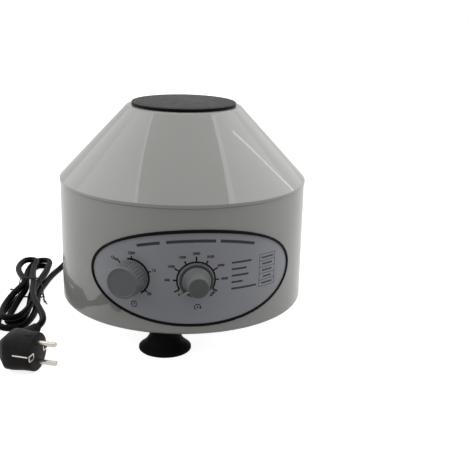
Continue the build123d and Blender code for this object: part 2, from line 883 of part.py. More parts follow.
# Chamber bowl on its pillars
bowl_outside = bowl_radius + bowl_wall
bowl_top = shoulder_height + bowl_above
chamber_bowl = turned(
    [
        (bowl_hole, bowl_floor),
        (bowl_outside - bowl_round, bowl_floor),
        (bowl_outside, bowl_floor + bowl_round),
        (bowl_outside, bowl_top - bowl_bead),
        (bowl_outside + bowl_bead, bowl_top - bowl_bead),
        (bowl_outside + bowl_bead, bowl_top),
        (bowl_radius, bowl_top),
        (bowl_radius, bowl_floor + bowl_round + bowl_wall / 2),
        (bowl_radius - bowl_round + bowl_wall / 2, bowl_floor + bowl_wall),
        (bowl_hole, bowl_floor + bowl_wall),
    ],
)
bowl_pillars = []
bowl_screws = []
for azimuth in pillar_azimuths:
    hole = rod(screw_radius + screw_play, bowl_floor, bowl_floor + bowl_wall)
    chamber_bowl -= around(azimuth, pillar_circle, 0) * hole
    pillar = rod(pillar_radius, plate_top, bowl_floor)
    pillar += rod(screw_radius + screw_play, foot_height, plate_top)
    pillar -= rod(screw_radius, bowl_floor - screw_length, bowl_floor)
    bowl_pillars.append(around(azimuth, pillar_circle, 0) * pillar)
    top_screw = around(azimuth, pillar_circle, bowl_floor + bowl_wall) * Rot(180, 0, 0)
    bowl_screws.append(top_screw * screw(screw_length))
parts["chamber_bowl"] = chamber_bowl
parts["bowl_pillars"] = joined(bowl_pillars)
parts["bowl_screws"] = joined(bowl_screws)

# Filter capacitor and terminal block on the base plate
floor_circle = (motor_plate_radius + flange_inside) / 2
capacitor = rod(capacitor_radius, plate_top, plate_top + capacitor_height)
parts["filter_capacitor"] = around(capacitor_azimuth, floor_circle, 0) * capacitor
terminal_top = plate_top + terminal_high
terminal_block = block(terminal_width, terminal_depth, plate_top, plate_top + terminal_low)
terminal_block += block(terminal_width, terminal_back, plate_top, terminal_top)
for index in (-1, 0, 1):
    hole = rod(terminal_hole, plate_top + terminal_low, terminal_top)
    terminal_block -= Pos(terminal_step * index, 0, 0) * hole
parts["terminal_block"] = around(terminal_azimuth, floor_circle, 0) * terminal_block

# Fuse holder through the rear wall, with a slotted cap
fuse_face = body_radius + fuse_collar_thick
fuse_end = fuse_face + fuse_cap_length
fuse_holder = turned(
    [
        (0, seat - fuse_depth),
        (fuse_radius, seat - fuse_depth),
        (fuse_radius, seat - flange_deep),
        (flange_radius, seat - flange_deep),
        (flange_radius, seat),
        (seat_bore, seat),
        (seat_bore, body_radius),
        (fuse_collar, body_radius),
        (fuse_collar, fuse_face),
        (0, fuse_face),
    ],
)
parts["fuse_holder"] = outwards(fuse_azimuth, fuse_height) * fuse_holder
fuse_cap = turned(
    [
        (0, fuse_face),
        (fuse_cap_radius, fuse_face),
        (fuse_cap_top, fuse_end),
        (0, fuse_end),
    ],
)
fuse_cap -= block(fuse_cap_radius * 2, fuse_slot, fuse_end - fuse_slot, fuse_end)
parts["fuse_cap"] = outwards(fuse_azimuth, fuse_height) * fuse_cap


def relief(start, length, root, tip, ribs):
    """Tapered strain relief along z, with rings that lean like a row of cones."""
    corners = [(0, start)]
    step = length / ribs
    for index in range(ribs):
        here = root + (tip - root) * index / ribs
        corners += [(here, start + step * index), (here - 1.2, start + step * (index + 0.8))]
    corners += [(tip, start + length), (0, start + length)]
    return turned(corners)


# Cord grip through the rear wall
grip_face = body_radius + gland_flange
cord_grip = turned(
    [
        (0, seat - flange_deep),
        (flange_radius, seat - flange_deep),
        (flange_radius, seat),
        (seat_bore, seat),
        (seat_bore, body_radius),
        (flange_radius, body_radius),
        (flange_radius, grip_face),
        (0, grip_face),
    ],
)
cord_grip += relief(grip_face, gland_reach - gland_flange, gland_root, gland_tip, gland_ribs)
parts["cord_grip"] = outwards(gland_azimuth, gland_height) * cord_grip


def hank_point(across, along, height):
    """Point of the hank: its waist is the origin, and along runs to its far end."""
    turn = math.radians(hank_turn)
    x = hank_place[0] + across * math.cos(turn) - along * math.sin(turn)
    y = hank_place[1] + across * math.sin(turn) + along * math.cos(turn)
    return (x, y, height)


def fold(start, end, middle, belly, tip, reach, low, high):
    """One fold of the hank, from the waist out to its tip and back, without the waist itself.

    start and end are the strands' (across, height) at the waist, and reach is negative at the
    near end. belly and tip are half widths, and low and high are the heights out and back.
    """
    side = math.copysign(1.0, start[0] - end[0])
    forward = math.copysign(1.0, reach)
    points = []
    for share, swell in ((0.32, 0.62), (0.62, 1.0)):
        wide = middle + side * belly
        across = start[0] + (wide - start[0]) * swell
        climb = swell if share > 0.5 else 0.35
        points.append((across, reach * share, start[1] + (low - start[1]) * climb))
    shoulder = reach - forward * tip * (1 - 0.577)
    points.append((middle + side * tip, shoulder, low))
    points.append((middle, reach + forward * tip * 0.155, (low + high) / 2))
    points.append((middle - side * tip, shoulder, high))
    for share, swell in ((0.62, 1.0), (0.32, 0.62)):
        wide = middle - side * belly
        across = end[0] + (wide - end[0]) * swell
        climb = swell if share > 0.5 else 0.35
        points.append((across, reach * share, end[1] + (high - end[1]) * climb))
    return [hank_point(*point) for point in points]


# Places of the strands in the waist: the outer columns lie on the bench, the others nest above
waist_low = cord_rest + hank_lift
waist_middle = waist_low + hank_nest
waist_high = waist_middle + hank_step
layer_low = cord_rest
layer_middle = layer_low + hank_step
layer_high = layer_middle + hank_step
half_column = hank_columns / 2
waist = [
    (hank_columns, waist_low),
    (-hank_columns, waist_low),
    (0, waist_low),
    (-half_column, waist_middle),
    (half_column, waist_middle),
    (-half_column, waist_high),
    (half_column, waist_high),
]
folds = [
    (0, 18.0, 14.6, -99, layer_low, layer_low),
    (-8.5, 9.5, 8.6, 101, layer_low, layer_low),
    (0.3, 8.4, 8.0, -84, layer_low, layer_low),
    (-6.5, 11.5, 9.5, 100, layer_middle, layer_middle),
    (-1.5, 14.5, 10, -90, layer_middle, layer_middle),
    (-17, 9.5, 8.4, 78, layer_high, layer_high),
]

# Route of the cord: down from the grip to the bench, along it to the hank, and on to the plug
start = radial(gland_azimuth) * (body_radius + gland_reach)
link = [(start.X, start.Y, gland_height)]
heading = 90.0 + gland_azimuth + 180.0
spot = radial(gland_azimuth) * (body_radius + gland_reach + cord_drop_run * 0.9)
for height in cord_drop_heights:
    link.append((spot.X, spot.Y, height))
    heading += cord_drop_turn
    turn = math.radians(heading)
    spot += Vector(math.cos(turn), math.sin(turn), 0) * cord_drop_run
link.append(hank_point(10, 67, cord_rest))
hank = [hank_point(8.4, 30, cord_rest + 0.4)]
joint = tuple((one + other) / 2 for one, other in zip(link[-1], hank[0]))
for index, (middle, belly, tip, reach, low, high) in enumerate(folds):
    first, second = waist[index], waist[index + 1]
    hank.append(hank_point(first[0], 0, first[1]))
    hank += fold(first, second, middle, belly, tip, reach, low, high)
hank.append(hank_point(waist[6][0], 0, waist[6][1]))
plug_rise = plug_place[2]
for across, along in ((8, -25), (14, -47), (22, -66), (30, -84), (37, -101)):
    hank.append(hank_point(across, along, plug_rise + 0.4))
plug = Plane(
    origin=plug_place,
    x_dir=(-math.sin(math.radians(plug_turn)), math.cos(math.radians(plug_turn)), 0),
    z_dir=(math.cos(math.radians(plug_turn)), math.sin(math.radians(plug_turn)), 0),
).location
relief_end = plug_boss_reach + relief_length
for reach in (relief_end + 13, relief_end):
    corner = (plug * Pos(reach, 0, -plug_boss_back)).position
    hank.append((corner.X, corner.Y, corner.Z))


def bends(points):
    """Radius at each inner point of a route, as large as its two runs allow."""
    radii = []
    for before, here, after in zip(points, points[1:], points[2:]):
        incoming = Vector(*here) - Vector(*before)
        outgoing = Vector(*after) - Vector(*here)
        half_turn = math.radians(incoming.get_angle(outgoing)) / 2
        radii.append(0.45 * min(incoming.length, outgoing.length) / math.tan(half_turn))
    return radii


def cord(points, name):
    """Round tube along a route, with its length, volume and least radius printed."""
    radii = bends(points)
    path = FilletPolyline(*points, radius=radii)
    start_plane = Plane(origin=points[0], z_dir=Vector(*points[1]) - Vector(*points[0]))
    section = start_plane * RegularPolygon(cord_radius, cord_sides)
    solid = sweep(section, path=path)
    expected = path.length * section.area
    print(name, "length", round(path.length), "volume share", round(solid.volume / expected, 4))
    print(name, "radii", [round(radius, 1) for radius in radii])
    return solid, path


def least_gap(path, spacing=2.5):
    """Least gap of a tube to itself, measured on points along its middle."""
    count = int(path.length / spacing)
    spots = [path.position_at(index / count) for index in range(count + 1)]
    skip = int(4 * cord_radius * math.pi / spacing)
    gap = 1000.0
    for index, spot in enumerate(spots):
        for other in spots[index + skip :]:
            gap = min(gap, (spot - other).length - 2 * cord_radius)
    return gap


parts["mains_cord"], link_path = cord(link + [joint], "mains_cord")
parts["cord_hank"], hank_path = cord([joint] + hank, "cord_hank")
print("hank's least gap to itself", round(least_gap(hank_path), 2))

# Twist tie round the waist, with its two ends
tie_width = 4.0
tie_thick = 0.7
side_out = hank_columns + cord_radius + 2.2
top_out = waist_high + cord_radius + 0.7
band_corners = [
    (-side_out, 0.1 + tie_thick),
    (side_out, 0.1 + tie_thick),
    (side_out, waist_middle),
    (half_column + cord_radius + 3.2, top_out),
    (-half_column - cord_radius - 3.2, top_out),
    (-side_out, waist_middle),
]
band_inside = make_face(FilletPolyline(*band_corners, radius=2.5, close=True))
band = offset(band_inside, tie_thick) - band_inside
waist_plane = Plane(
    origin=(hank_place[0], hank_place[1], 0),
    x_dir=Vector(*hank_point(1, 0, 0)) - Vector(*hank_point(0, 0, 0)),
    z_dir=Vector(*hank_point(0, -1, 0)) - Vector(*hank_point(0, 0, 0)),
)
cord_tie = extrude(waist_plane * band, tie_width / 2, both=True)
for ends in (
    [(-side_out - 0.2, 0, 6), (-19, 5, 5.2), (-24, 14, 3.2), (-29, 21, 1.4)],
    [(side_out + 0.2, 0, 5), (16, -6, 3.6), (17.5, -14, 2.4), (23, -22, 1.4)],
):
    points = [hank_point(*point) for point in ends]
    path = FilletPolyline(*points, radius=4.0)
    end_plane = Plane(origin=points[0], z_dir=Vector(*points[1]) - Vector(*points[0]))
    cord_tie += sweep(end_plane * RegularPolygon(1.0, 6), path=path)
parts["cord_tie"] = cord_tie

# Plug: a round angled body with a ribbed relief, two pins and two earth strips
plug_body = turned(
    [
        (0, -plug_depth),
        (10.5, -plug_depth),
        (14.5, 3 - plug_depth),
        (plug_radius, -22),
        (plug_radius, -1.2),
        (plug_radius - 1.2, 0),
        (0, 0),
    ],
)
boss = Pos(0, 0, -plug_boss_back) * Rot(0, 90, 0)
plug_body += boss * rod(10.0, 0, plug_boss_reach)
plug_body += boss * relief(plug_boss_reach, relief_length, 8.6, 4.8, 5)
pins = []
strips = []
for side in (-1, 1):
    pin = turned(
        [
            (0, -4),
            (pin_radius, -4),
            (pin_radius, pin_length - 1.4),
            (pin_radius - 1, pin_length),
            (0, pin_length),
        ]
    )
    plug_body -= Pos(0, side * pin_spacing / 2, 0) * rod(pin_radius, -4, 1)
    pins.append(plug * Pos(0, side * pin_spacing / 2, 0) * pin)
    strip = Pos(side * (plug_radius - 0.6), 0, -8) * Box(2.4, 5, 16)
    plug_body -= strip
    strips.append(plug * strip)
parts["plug_body"] = plug * plug_body
parts["plug_pins"] = joined(pins)
parts["plug_earth_strips"] = joined(strips)

os.makedirs("parts", exist_ok=True)
for name, shape in parts.items():
    export_step(shape, f"parts/{name}.step")
print(len(parts), "nodes")
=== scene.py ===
"""Bench centrifuge with a conical cover and a lift-off lid: its surfaces, finishes, dials and cord.

Sizes are in millimetres and are turned into metres where a mesh or a curve is made. The Z axis is
the spin axis, z = 0 is the bench, and an azimuth is an angle in degrees from -Y towards +X.
"""

from __future__ import annotations

import logging
import math
from dataclasses import dataclass, field
from enum import Enum
from typing import Any, Iterable, Sequence

import bmesh
import bpy
import numpy as np
from mathutils import Matrix, Vector

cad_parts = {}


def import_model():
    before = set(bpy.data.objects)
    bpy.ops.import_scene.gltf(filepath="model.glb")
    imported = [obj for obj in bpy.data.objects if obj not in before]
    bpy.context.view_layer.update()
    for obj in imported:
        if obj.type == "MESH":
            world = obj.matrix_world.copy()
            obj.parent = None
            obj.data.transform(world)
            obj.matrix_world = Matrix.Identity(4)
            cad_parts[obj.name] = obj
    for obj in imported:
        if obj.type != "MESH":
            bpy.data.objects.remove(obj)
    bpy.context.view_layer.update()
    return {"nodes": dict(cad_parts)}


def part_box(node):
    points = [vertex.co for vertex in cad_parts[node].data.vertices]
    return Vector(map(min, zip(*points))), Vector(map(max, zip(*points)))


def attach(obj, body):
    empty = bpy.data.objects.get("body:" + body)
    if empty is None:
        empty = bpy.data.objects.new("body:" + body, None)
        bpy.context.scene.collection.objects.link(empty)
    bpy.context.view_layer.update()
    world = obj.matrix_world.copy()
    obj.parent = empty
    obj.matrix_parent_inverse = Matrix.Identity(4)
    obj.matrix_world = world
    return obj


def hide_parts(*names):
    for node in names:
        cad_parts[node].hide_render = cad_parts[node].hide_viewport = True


LOG = logging.getLogger("centrifuge")
MM = 0.001
IMAGE_SIZE = 470
CREASE = 32.0  # degrees past which an edge stays sharp
WHITE = (1.0, 1.0, 1.0, 1.0)
Array = np.ndarray
Pair = tuple[float, float]
Point = tuple[float, float, float]
Colour = tuple[float, float, float]


# Places, boxes and vectors


def radial(azimuth: float | Array) -> Array:
    """Unit vectors that point outwards at azimuths."""
    angle = np.radians(azimuth)
    return np.stack([np.sin(angle), -np.cos(angle), np.zeros_like(angle)], axis=-1)


def framed(x: Any, y: Any, z: Any, middle: Any) -> Array:
    """Place of three axes about a middle."""
    place = np.eye(4)
    place[:3] = np.column_stack([x, y, z, middle])
    return place


def outwards(azimuth: float, height: float) -> Array:
    """Place on the spin axis whose z runs outwards at an azimuth and whose y runs up."""
    return framed(radial(azimuth + 90), (0, 0, 1), radial(azimuth), (0, 0, height))


def shifted(x: float = 0.0, y: float = 0.0, z: float = 0.0) -> Array:
    """Place moved along the axes."""
    return framed((1, 0, 0), (0, 1, 0), (0, 0, 1), (x, y, z))


def spun(angle: float) -> Array:
    """Place turned about z by an angle in degrees."""
    place = np.eye(4)
    cosine, sine = math.cos(math.radians(angle)), math.sin(math.radians(angle))
    place[:2, :2] = ((cosine, -sine), (sine, cosine))
    return place


def node_box(node: str) -> tuple[Array, Array]:
    """Lowest and highest corner of a CAD node, in millimetres."""
    low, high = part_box(node)
    return np.array(low) / MM, np.array(high) / MM


def unit(vectors: Array) -> Array:
    """The vectors, each made one long."""
    return vectors / np.linalg.norm(vectors, axis=-1, keepdims=True)


def ways_round(loop: Array) -> Array:
    """Unit vectors along a closed path, at each of its points."""
    return unit(np.roll(loop, -1, axis=0) - np.roll(loop, 1, axis=0))


def even_angles(count: int) -> Array:
    """Angles in radians, spread evenly round a circle."""
    return np.linspace(0, 2 * math.pi, count, endpoint=False)


# Surfaces


@dataclass
class Surface:
    """Points in millimetres with the quads and triangles between them."""

    points: Array
    quads: Array = field(default_factory=lambda: np.zeros((0, 4), int))
    triangles: Array = field(default_factory=lambda: np.zeros((0, 3), int))

    def placed(self, place: Array) -> Surface:
        """The same surface moved by a 4 by 4 place."""
        points = self.points @ place[:3, :3].T + place[:3, 3]
        return Surface(points, self.quads, self.triangles)

    def __add__(self, other: Surface) -> Surface:
        """Both surfaces as one."""
        shift = len(self.points)
        return Surface(
            np.concatenate([self.points, other.points]),
            np.concatenate([self.quads, other.quads + shift]),
            np.concatenate([self.triangles, other.triangles + shift]),
        )


def together(surfaces: Iterable[Surface]) -> Surface:
    """One surface of several."""
    result = Surface(np.zeros((0, 3)))
    for surface in surfaces:
        result = result + surface
    return result


def grid(points: Array, wrap_rows: bool = False, wrap_columns: bool = False) -> Surface:
    """Quads between the neighbours of a grid of points.

    Args:
        points: rows by columns by three coordinates.
        wrap_rows: whether the last row meets the first.
        wrap_columns: whether the last column meets the first.
    Returns:
        The surface.
    """
    rows, columns = points.shape[:2]
    index = np.arange(rows * columns).reshape(rows, columns)
    if wrap_rows:
        index = np.concatenate([index, index[:1]], axis=0)
    if wrap_columns:
        index = np.concatenate([index, index[:, :1]], axis=1)
    quads = np.stack([index[:-1, :-1], index[1:, :-1], index[1:, 1:], index[:-1, 1:]], axis=-1)
    return Surface(points.reshape(-1, 3), quads.reshape(-1, 4))


def oblong(near: float, far: float, low: float, high: float) -> list[Pair]:
    """Corners of an oblong between two values of each kind."""
    return [(near, low), (far, low), (far, high), (near, high)]


def rounded(corners: Sequence[Pair], rounds: dict[int, float] | None = None, steps: int = 7,
            closed: bool = True) -> Array:
    """Outline through corners, with an arc at some of them.

    An arc of radius r starts r / tan(half the inner angle) before its corner and ends as far
    behind it. Its points turn evenly from the one foot to the other about the arc's centre.

    Args:
        corners: the outline's corners in order.
        rounds: radius by corner index.
        steps: number of points on each arc.
        closed: whether the last corner joins the first.
    Returns:
        Points, one in each row.
    """
    spots = np.array(corners, float)
    pieces = []
    for index, spot in enumerate(spots):
        radius = (rounds or {}).get(index, 0.0)
        if radius <= 0:
            pieces.append(spot[None])
            continue
        before = unit(spots[index - 1] - spot)
        after = unit(spots[(index + 1) % len(spots)] - spot)
        half = math.acos(np.clip(before @ after, -1, 1)) / 2
        middle = unit(before + after)
        centre = spot + middle * radius / math.sin(half)
        first = spot + before * radius / math.tan(half) - centre
        last = spot + after * radius / math.tan(half) - centre
        sweep = math.pi - 2 * half
        share = np.linspace(0, 1, steps)[:, None]
        arc = (np.sin((1 - share) * sweep) * first + np.sin(share * sweep) * last) / math.sin(sweep)
        pieces.append(centre + arc)
    outline = np.concatenate(pieces)
    return np.concatenate([outline, outline[:1]]) if closed else outline


def turned(outline: Array, columns: int = 128, swell: Array | None = None) -> Surface:
    """Surface of revolution of (radius, height) points about z.

    The point at outline row i and angle a is (r sin a, -r cos a, h), and swell adds to r.

    Args:
        outline: points in rows. One that starts and ends at the same point, or on the axis, closes.
        columns: number of steps round the axis.
        swell: what is added to the radius, rows by columns.
    Returns:
        The surface, with its poles as repeated points that the mesh maker merges.
    """
    angle = even_angles(columns)
    radius = np.repeat(outline[:, :1], columns, axis=1)
    if swell is not None:
        radius = radius + swell
    height = np.repeat(outline[:, 1:], columns, axis=1)
    points = np.stack([radius * np.sin(angle), -radius * np.cos(angle), height], axis=-1)
    return grid(points, wrap_columns=True)


def carried(path: Array, across: Any, up: Any, profile: Any, loop: bool = False) -> Surface:
    """A closed profile carried along a path.

    The point of path row i and profile row j is path + across * profile_x + up * profile_y. An
    open path gets its two ends closed by a fan to the profile's middle.

    Args:
        path: points of the path.
        across: unit vector for the profile's first value, one for all or one at each point.
        up: the same for the profile's second value.
        profile: points of the profile, the last not repeating the first.
        loop: whether the path's end meets its start.
    Returns:
        The surface.
    """
    profile = np.array(profile)
    sides = np.expand_dims(across, -2) * profile[:, :1]
    points = path[:, None] + sides + np.expand_dims(up, -2) * profile[:, 1:]
    if not loop:
        ends = np.repeat(path[[0, -1], None], len(profile), axis=1)
        points = np.concatenate([ends[:1], points, ends[1:]])
    return grid(points, wrap_rows=loop, wrap_columns=True)


def ribbed(start: float, end: float, root: float, tip: float, ribs: int,
           rows: Sequence[Pair]) -> list[Pair]:
    """Outline of ribs along a taper.

    Args:
        start: height where the ribs start.
        end: height where they end.
        root: radius at the start.
        tip: radius at the end.
        ribs: number of ribs.
        rows: (share of the rib's length, step off the radius) of each point of a rib.
    Returns:
        (radius, height) points.
    """
    step = (end - start) / ribs
    return [
        (root + (tip - root) * rib / ribs + off, start + step * rib + step * share)
        for rib in range(ribs)
        for share, off in rows
    ]


def frames_along(path: Array) -> tuple[Array, Array]:
    """Unit vectors level across a path, and square to both of these."""
    along = unit(np.gradient(path, axis=0))
    across = unit(np.cross(along, (0.0, 0.0, 1.0)))
    return across, np.cross(across, along)


def smooth_path(points: Sequence[Point], steps: int = 8) -> Array:
    """Path that rounds off a list of points: each inner point pulls a quadratic Bezier arc.

    The arc between the middles of two neighbouring runs is (1-t)^2 a + 2 t (1-t) b + t^2 c.

    Args:
        points: the points in order.
        steps: number of points on each arc.
    Returns:
        The path's points, one in each row.
    """
    spots = np.array(points, float)
    middles = (spots[:-1] + spots[1:]) / 2
    share = np.linspace(0, 1, steps, endpoint=False)[:, None]
    arcs = [
        (1 - share) ** 2 * start + 2 * share * (1 - share) * spot + share**2 * end
        for start, spot, end in zip(middles[:-1], spots[1:-1], middles[1:])
    ]
    return np.concatenate([spots[:1], *arcs, middles[-1:], spots[-1:]])


# Shader maths


def linear(colour: Sequence[float]) -> Array:
    """Linear colour from 0 to 255 values as a screen shows them."""
    share = np.array(colour, float) / 255
    return np.where(share <= 0.04045, share / 12.92, ((share + 0.055) / 1.055) ** 2.4)


def opaque(colour: Array) -> tuple[float, ...]:
    """A colour as a socket takes it, with its fourth value."""
    return (*map(float, colour), 1.0)


class Number:
    """A number socket of a node tree, so that shader maths reads as an expression."""

    def __init__(self, dye: Nodes, socket: bpy.types.NodeSocket) -> None:
        """Keep the node tree and the socket."""
        self.dye = dye
        self.socket = socket

    def _math(self, operation: str, *values: Number | float) -> Number:
        """The result of a Math node on these values."""
        node = self.dye.node("ShaderNodeMath", {"operation": operation}, dict(enumerate(values)))
        return Number(self.dye, node.outputs[0])

    def __add__(self, other: Number | float) -> Number:
        """This number plus another."""
        return self._math("ADD", self, other)

    def __sub__(self, other: Number | float) -> Number:
        """This number less another."""
        return self._math("SUBTRACT", self, other)

    def __rsub__(self, other: float) -> Number:
        """A plain number less this one."""
        return self._math("SUBTRACT", other, self)

    def __mul__(self, other: Number | float) -> Number:
        """This number times another."""
        return self._math("MULTIPLY", self, other)

    def clipped(self, low: float, high: float) -> Number:
        """This number, held between two values."""
        return self._math("MINIMUM", self._math("MAXIMUM", self, low), high)

    def step(self, low: float, high: float) -> Number:
        """A smooth rise from 0 at low to 1 at high."""
        node = self.dye.node(
            "ShaderNodeMapRange",
            {"interpolation_type": "SMOOTHSTEP"},
            {"Value": self, "From Min": low, "From Max": high, "To Min": 0.0, "To Max": 1.0},
        )
        return Number(self.dye, node.outputs["Result"])


class Nodes:
    """A node tree that is being filled."""

    def __init__(self, tree: bpy.types.NodeTree, output: str) -> None:
        """Empty the tree and give it its output node."""
        self.tree = tree
        self.tree.nodes.clear()
        self.output = self.node(output)

    def node(self, kind: str, settings: dict[str, Any] | None = None,
             inputs: dict[int | str, Any] | None = None) -> bpy.types.Node:
        """One node of a type.

        Args:
            kind: the node's type.
            settings: its settings, set first.
            inputs: values or links by socket name or number.
        Returns:
            The node.
        """
        node = self.tree.nodes.new(kind)
        for name, value in (settings or {}).items():
            setattr(node, name, value)
        for name, value in (inputs or {}).items():
            value = value.socket if isinstance(value, Number) else value
            if isinstance(value, bpy.types.NodeSocket):
                self.tree.links.new(value, node.inputs[name])
            else:
                node.inputs[name].default_value = value
        return node

    def seen(self) -> Number:
        """1 for rays from the camera and for those that gloss or glass sends on, 0 for the others."""
        path = self.node("ShaderNodeLightPath")
        kinds = ("Is Camera Ray", "Is Glossy Ray", "Is Transmission Ray")
        camera, glossy, passed = (Number(self, path.outputs[kind]) for kind in kinds)
        return (camera + glossy + passed).clipped(0, 1)

    def show(self, shader: bpy.types.Node) -> None:
        """Make a shader the tree's surface."""
        self.tree.links.new(shader.outputs[0], self.output.inputs["Surface"])

    def show_apart(self, plain: bpy.types.Node, looked_at: bpy.types.Node) -> None:
        """Show one shader to the rays that seen() counts, and a plain one to all others."""
        inputs = {0: self.seen(), 1: plain.outputs[0], 2: looked_at.outputs[0]}
        self.show(self.node("ShaderNodeMixShader", None, inputs))


class Dye(Nodes):
    """A material under construction."""

    def __init__(self, name: str) -> None:
        """Start an empty material, with the object's coordinates at hand."""
        self.material = bpy.data.materials.new(name)
        self.material.use_nodes = True
        super().__init__(self.material.node_tree, "ShaderNodeOutputMaterial")
        self.object = self.node("ShaderNodeTexCoord").outputs["Object"]

    def noise(self, size: float, detail: float = 2.0, stretch: Point = (1, 1, 1)) -> Number:
        """Noise whose patches measure about size millimetres, from about 0.25 to 0.75."""
        place = self.node("ShaderNodeMapping", None, {"Vector": self.object, "Scale": stretch})
        inputs = {"Vector": place.outputs[0], "Scale": 1 / (size * MM), "Detail": detail}
        return Number(self, self.node("ShaderNodeTexNoise", None, inputs).outputs["Fac"])

    def specks(self, size: float) -> Number:
        """Distance to the nearest of scattered points, with cells of about size millimetres."""
        inputs = {"Vector": self.object, "Scale": 1 / (size * MM)}
        return Number(self, self.node("ShaderNodeTexVoronoi", None, inputs).outputs["Distance"])

    def blend(self, share: Number | float, first: Any, second: Any) -> bpy.types.NodeSocket:
        """Colour between two colours."""
        inputs = {0: share, 6: first, 7: second}
        return self.node("ShaderNodeMix", {"data_type": "RGBA"}, inputs).outputs[2]

    def bump(self, height: Number, depth: float, base: Any = None) -> bpy.types.NodeSocket:
        """Normals of a relief.

        Args:
            height: the relief, from 0 to 1.
            depth: how deep it is, in millimetres.
            base: normals of a relief below it.
        Returns:
            The socket of the normals.
        """
        inputs: dict[int | str, Any] = {"Height": height, "Distance": depth * MM, "Strength": 1.0}
        if base is not None:
            inputs["Normal"] = base
        return self.node("ShaderNodeBump", None, inputs).outputs["Normal"]

    def finish(self, inputs: dict[int | str, Any]) -> bpy.types.Material:
        """The material with a Principled shader of these inputs."""
        self.show(self.node("ShaderNodeBsdfPrincipled", None, inputs))
        return self.material


# Finishes


class Slot(Enum):
    """Material slots of the record."""

    HOUSING = "housing"
    LID = "lid"
    RUBBER = "rubber"
    STEEL = "steel"
    PANEL = "panel"
    TRIM = "trim"
    ALUMINIUM = "aluminium"
    CAST = "cast"
    IRON = "iron"
    COPPER = "copper"
    CARBON = "carbon"
    BLACK = "black"
    BOARD = "board"
    WHITE = "white"
    CORD = "cord"
    SLEEVE = "sleeve"
    KNOB = "knob"


@dataclass(frozen=True)
class Finish:
    """A moulded or painted surface: soft patches of tone, fine grain and dusty roughness."""

    name: str
    slot: Slot
    colour: Colour
    roughness: float = 0.4
    patch: float = 30.0
    patch_share: float = 0.06
    grain: float = 0.6
    grain_depth: float = 0.01
    roughness_spread: float = 0.1
    coat: float = 0.0
    coat_roughness: float = 0.1
    coat_index: float = 1.5
    specular: float = 0.5
    metallic: float = 0.0

    def tones(self) -> tuple[tuple[float, ...], tuple[float, ...]]:
        """The darker and the lighter tone of the patches."""
        colour = linear(self.colour)
        return opaque(colour * (1 - self.patch_share)), opaque(colour * (1 + self.patch_share))

    def inputs(self, dye: Dye) -> dict[int | str, Any]:
        """The shader's inputs.

        Args:
            dye: the material under construction, which gets the nodes.
        Returns:
            Values or sockets by the name of the Principled shader's input.
        """
        dark, light = self.tones()
        patches = dye.noise(self.patch, 3.0).step(0.3, 0.7)
        dust = dye.noise(self.patch * 0.3, 4.0) - 0.5
        return {
            "Base Color": dye.blend(patches, dark, light),
            "Roughness": (dust * self.roughness_spread + self.roughness).clipped(0.02, 1.0),
            "Metallic": self.metallic,
            "Coat Weight": self.coat,
            "Coat Roughness": self.coat_roughness,
            "Coat IOR": self.coat_index,
            "Specular IOR Level": self.specular,
            "Normal": dye.bump(dye.noise(self.grain, 2.0), self.grain_depth),
        }

    def make(self) -> bpy.types.Material:
        """The finish as a material."""
        dye = Dye(self.name)
        return dye.finish(self.inputs(dye))


@dataclass(frozen=True)
class Brushed(Finish):
    """Metal with fine lines round an axis or along one, from turning, drawing or brushing."""

    metallic: float = 1.0
    lines: Point = (1.0, 1.0, 40.0)
    line_size: float = 20.0
    line_depth: float = 0.004

    def inputs(self, dye: Dye) -> dict[int | str, Any]:
        """The shader's inputs, with the lines in roughness and relief."""
        inputs = super().inputs(dye)
        lines = dye.noise(self.line_size, 2.0, self.lines)
        inputs["Roughness"] = ((lines - 0.5) * self.roughness_spread + self.roughness).clipped(0.05, 1.0)
        inputs["Normal"] = dye.bump(lines, self.line_depth)
        return inputs


@dataclass(frozen=True)
class Speckled(Finish):
    """Textured plastic with pale specks and worn patches."""

    speck_size: float = 3.0
    speck_share: float = 0.12
    speck_depth: float = 0.03

    def inputs(self, dye: Dye) -> dict[int | str, Any]:
        """The shader's inputs, with specks in tone, roughness and relief."""
        inputs = super().inputs(dye)
        specks = 1 - dye.specks(self.speck_size).step(0.15, 0.6)
        cloud = dye.noise(self.speck_size * 3, 4.0).step(0.35, 0.65)
        pale = opaque(linear(self.colour) * (1 + self.speck_share * 4))
        share = specks * cloud * self.speck_share * 4
        inputs["Base Color"] = dye.blend(share, inputs["Base Color"], pale)
        inputs["Normal"] = dye.bump(specks, self.speck_depth, inputs["Normal"])
        return inputs


@dataclass(frozen=True)
class Jacket(Finish):
    """Soft cord jacket: a dull sheen with scuffs along its length."""

    def inputs(self, dye: Dye) -> dict[int | str, Any]:
        """The shader's inputs, with scuffs as paler, duller patches."""
        inputs = super().inputs(dye)
        scuffs = dye.noise(9.0, 5.0).step(0.56, 0.72)
        pale = opaque(linear(self.colour) * 1.8 + 0.004)
        inputs["Base Color"] = dye.blend(scuffs * 0.35, inputs["Base Color"], pale)
        inputs["Roughness"] = scuffs * 0.12 + inputs["Roughness"]
        return inputs


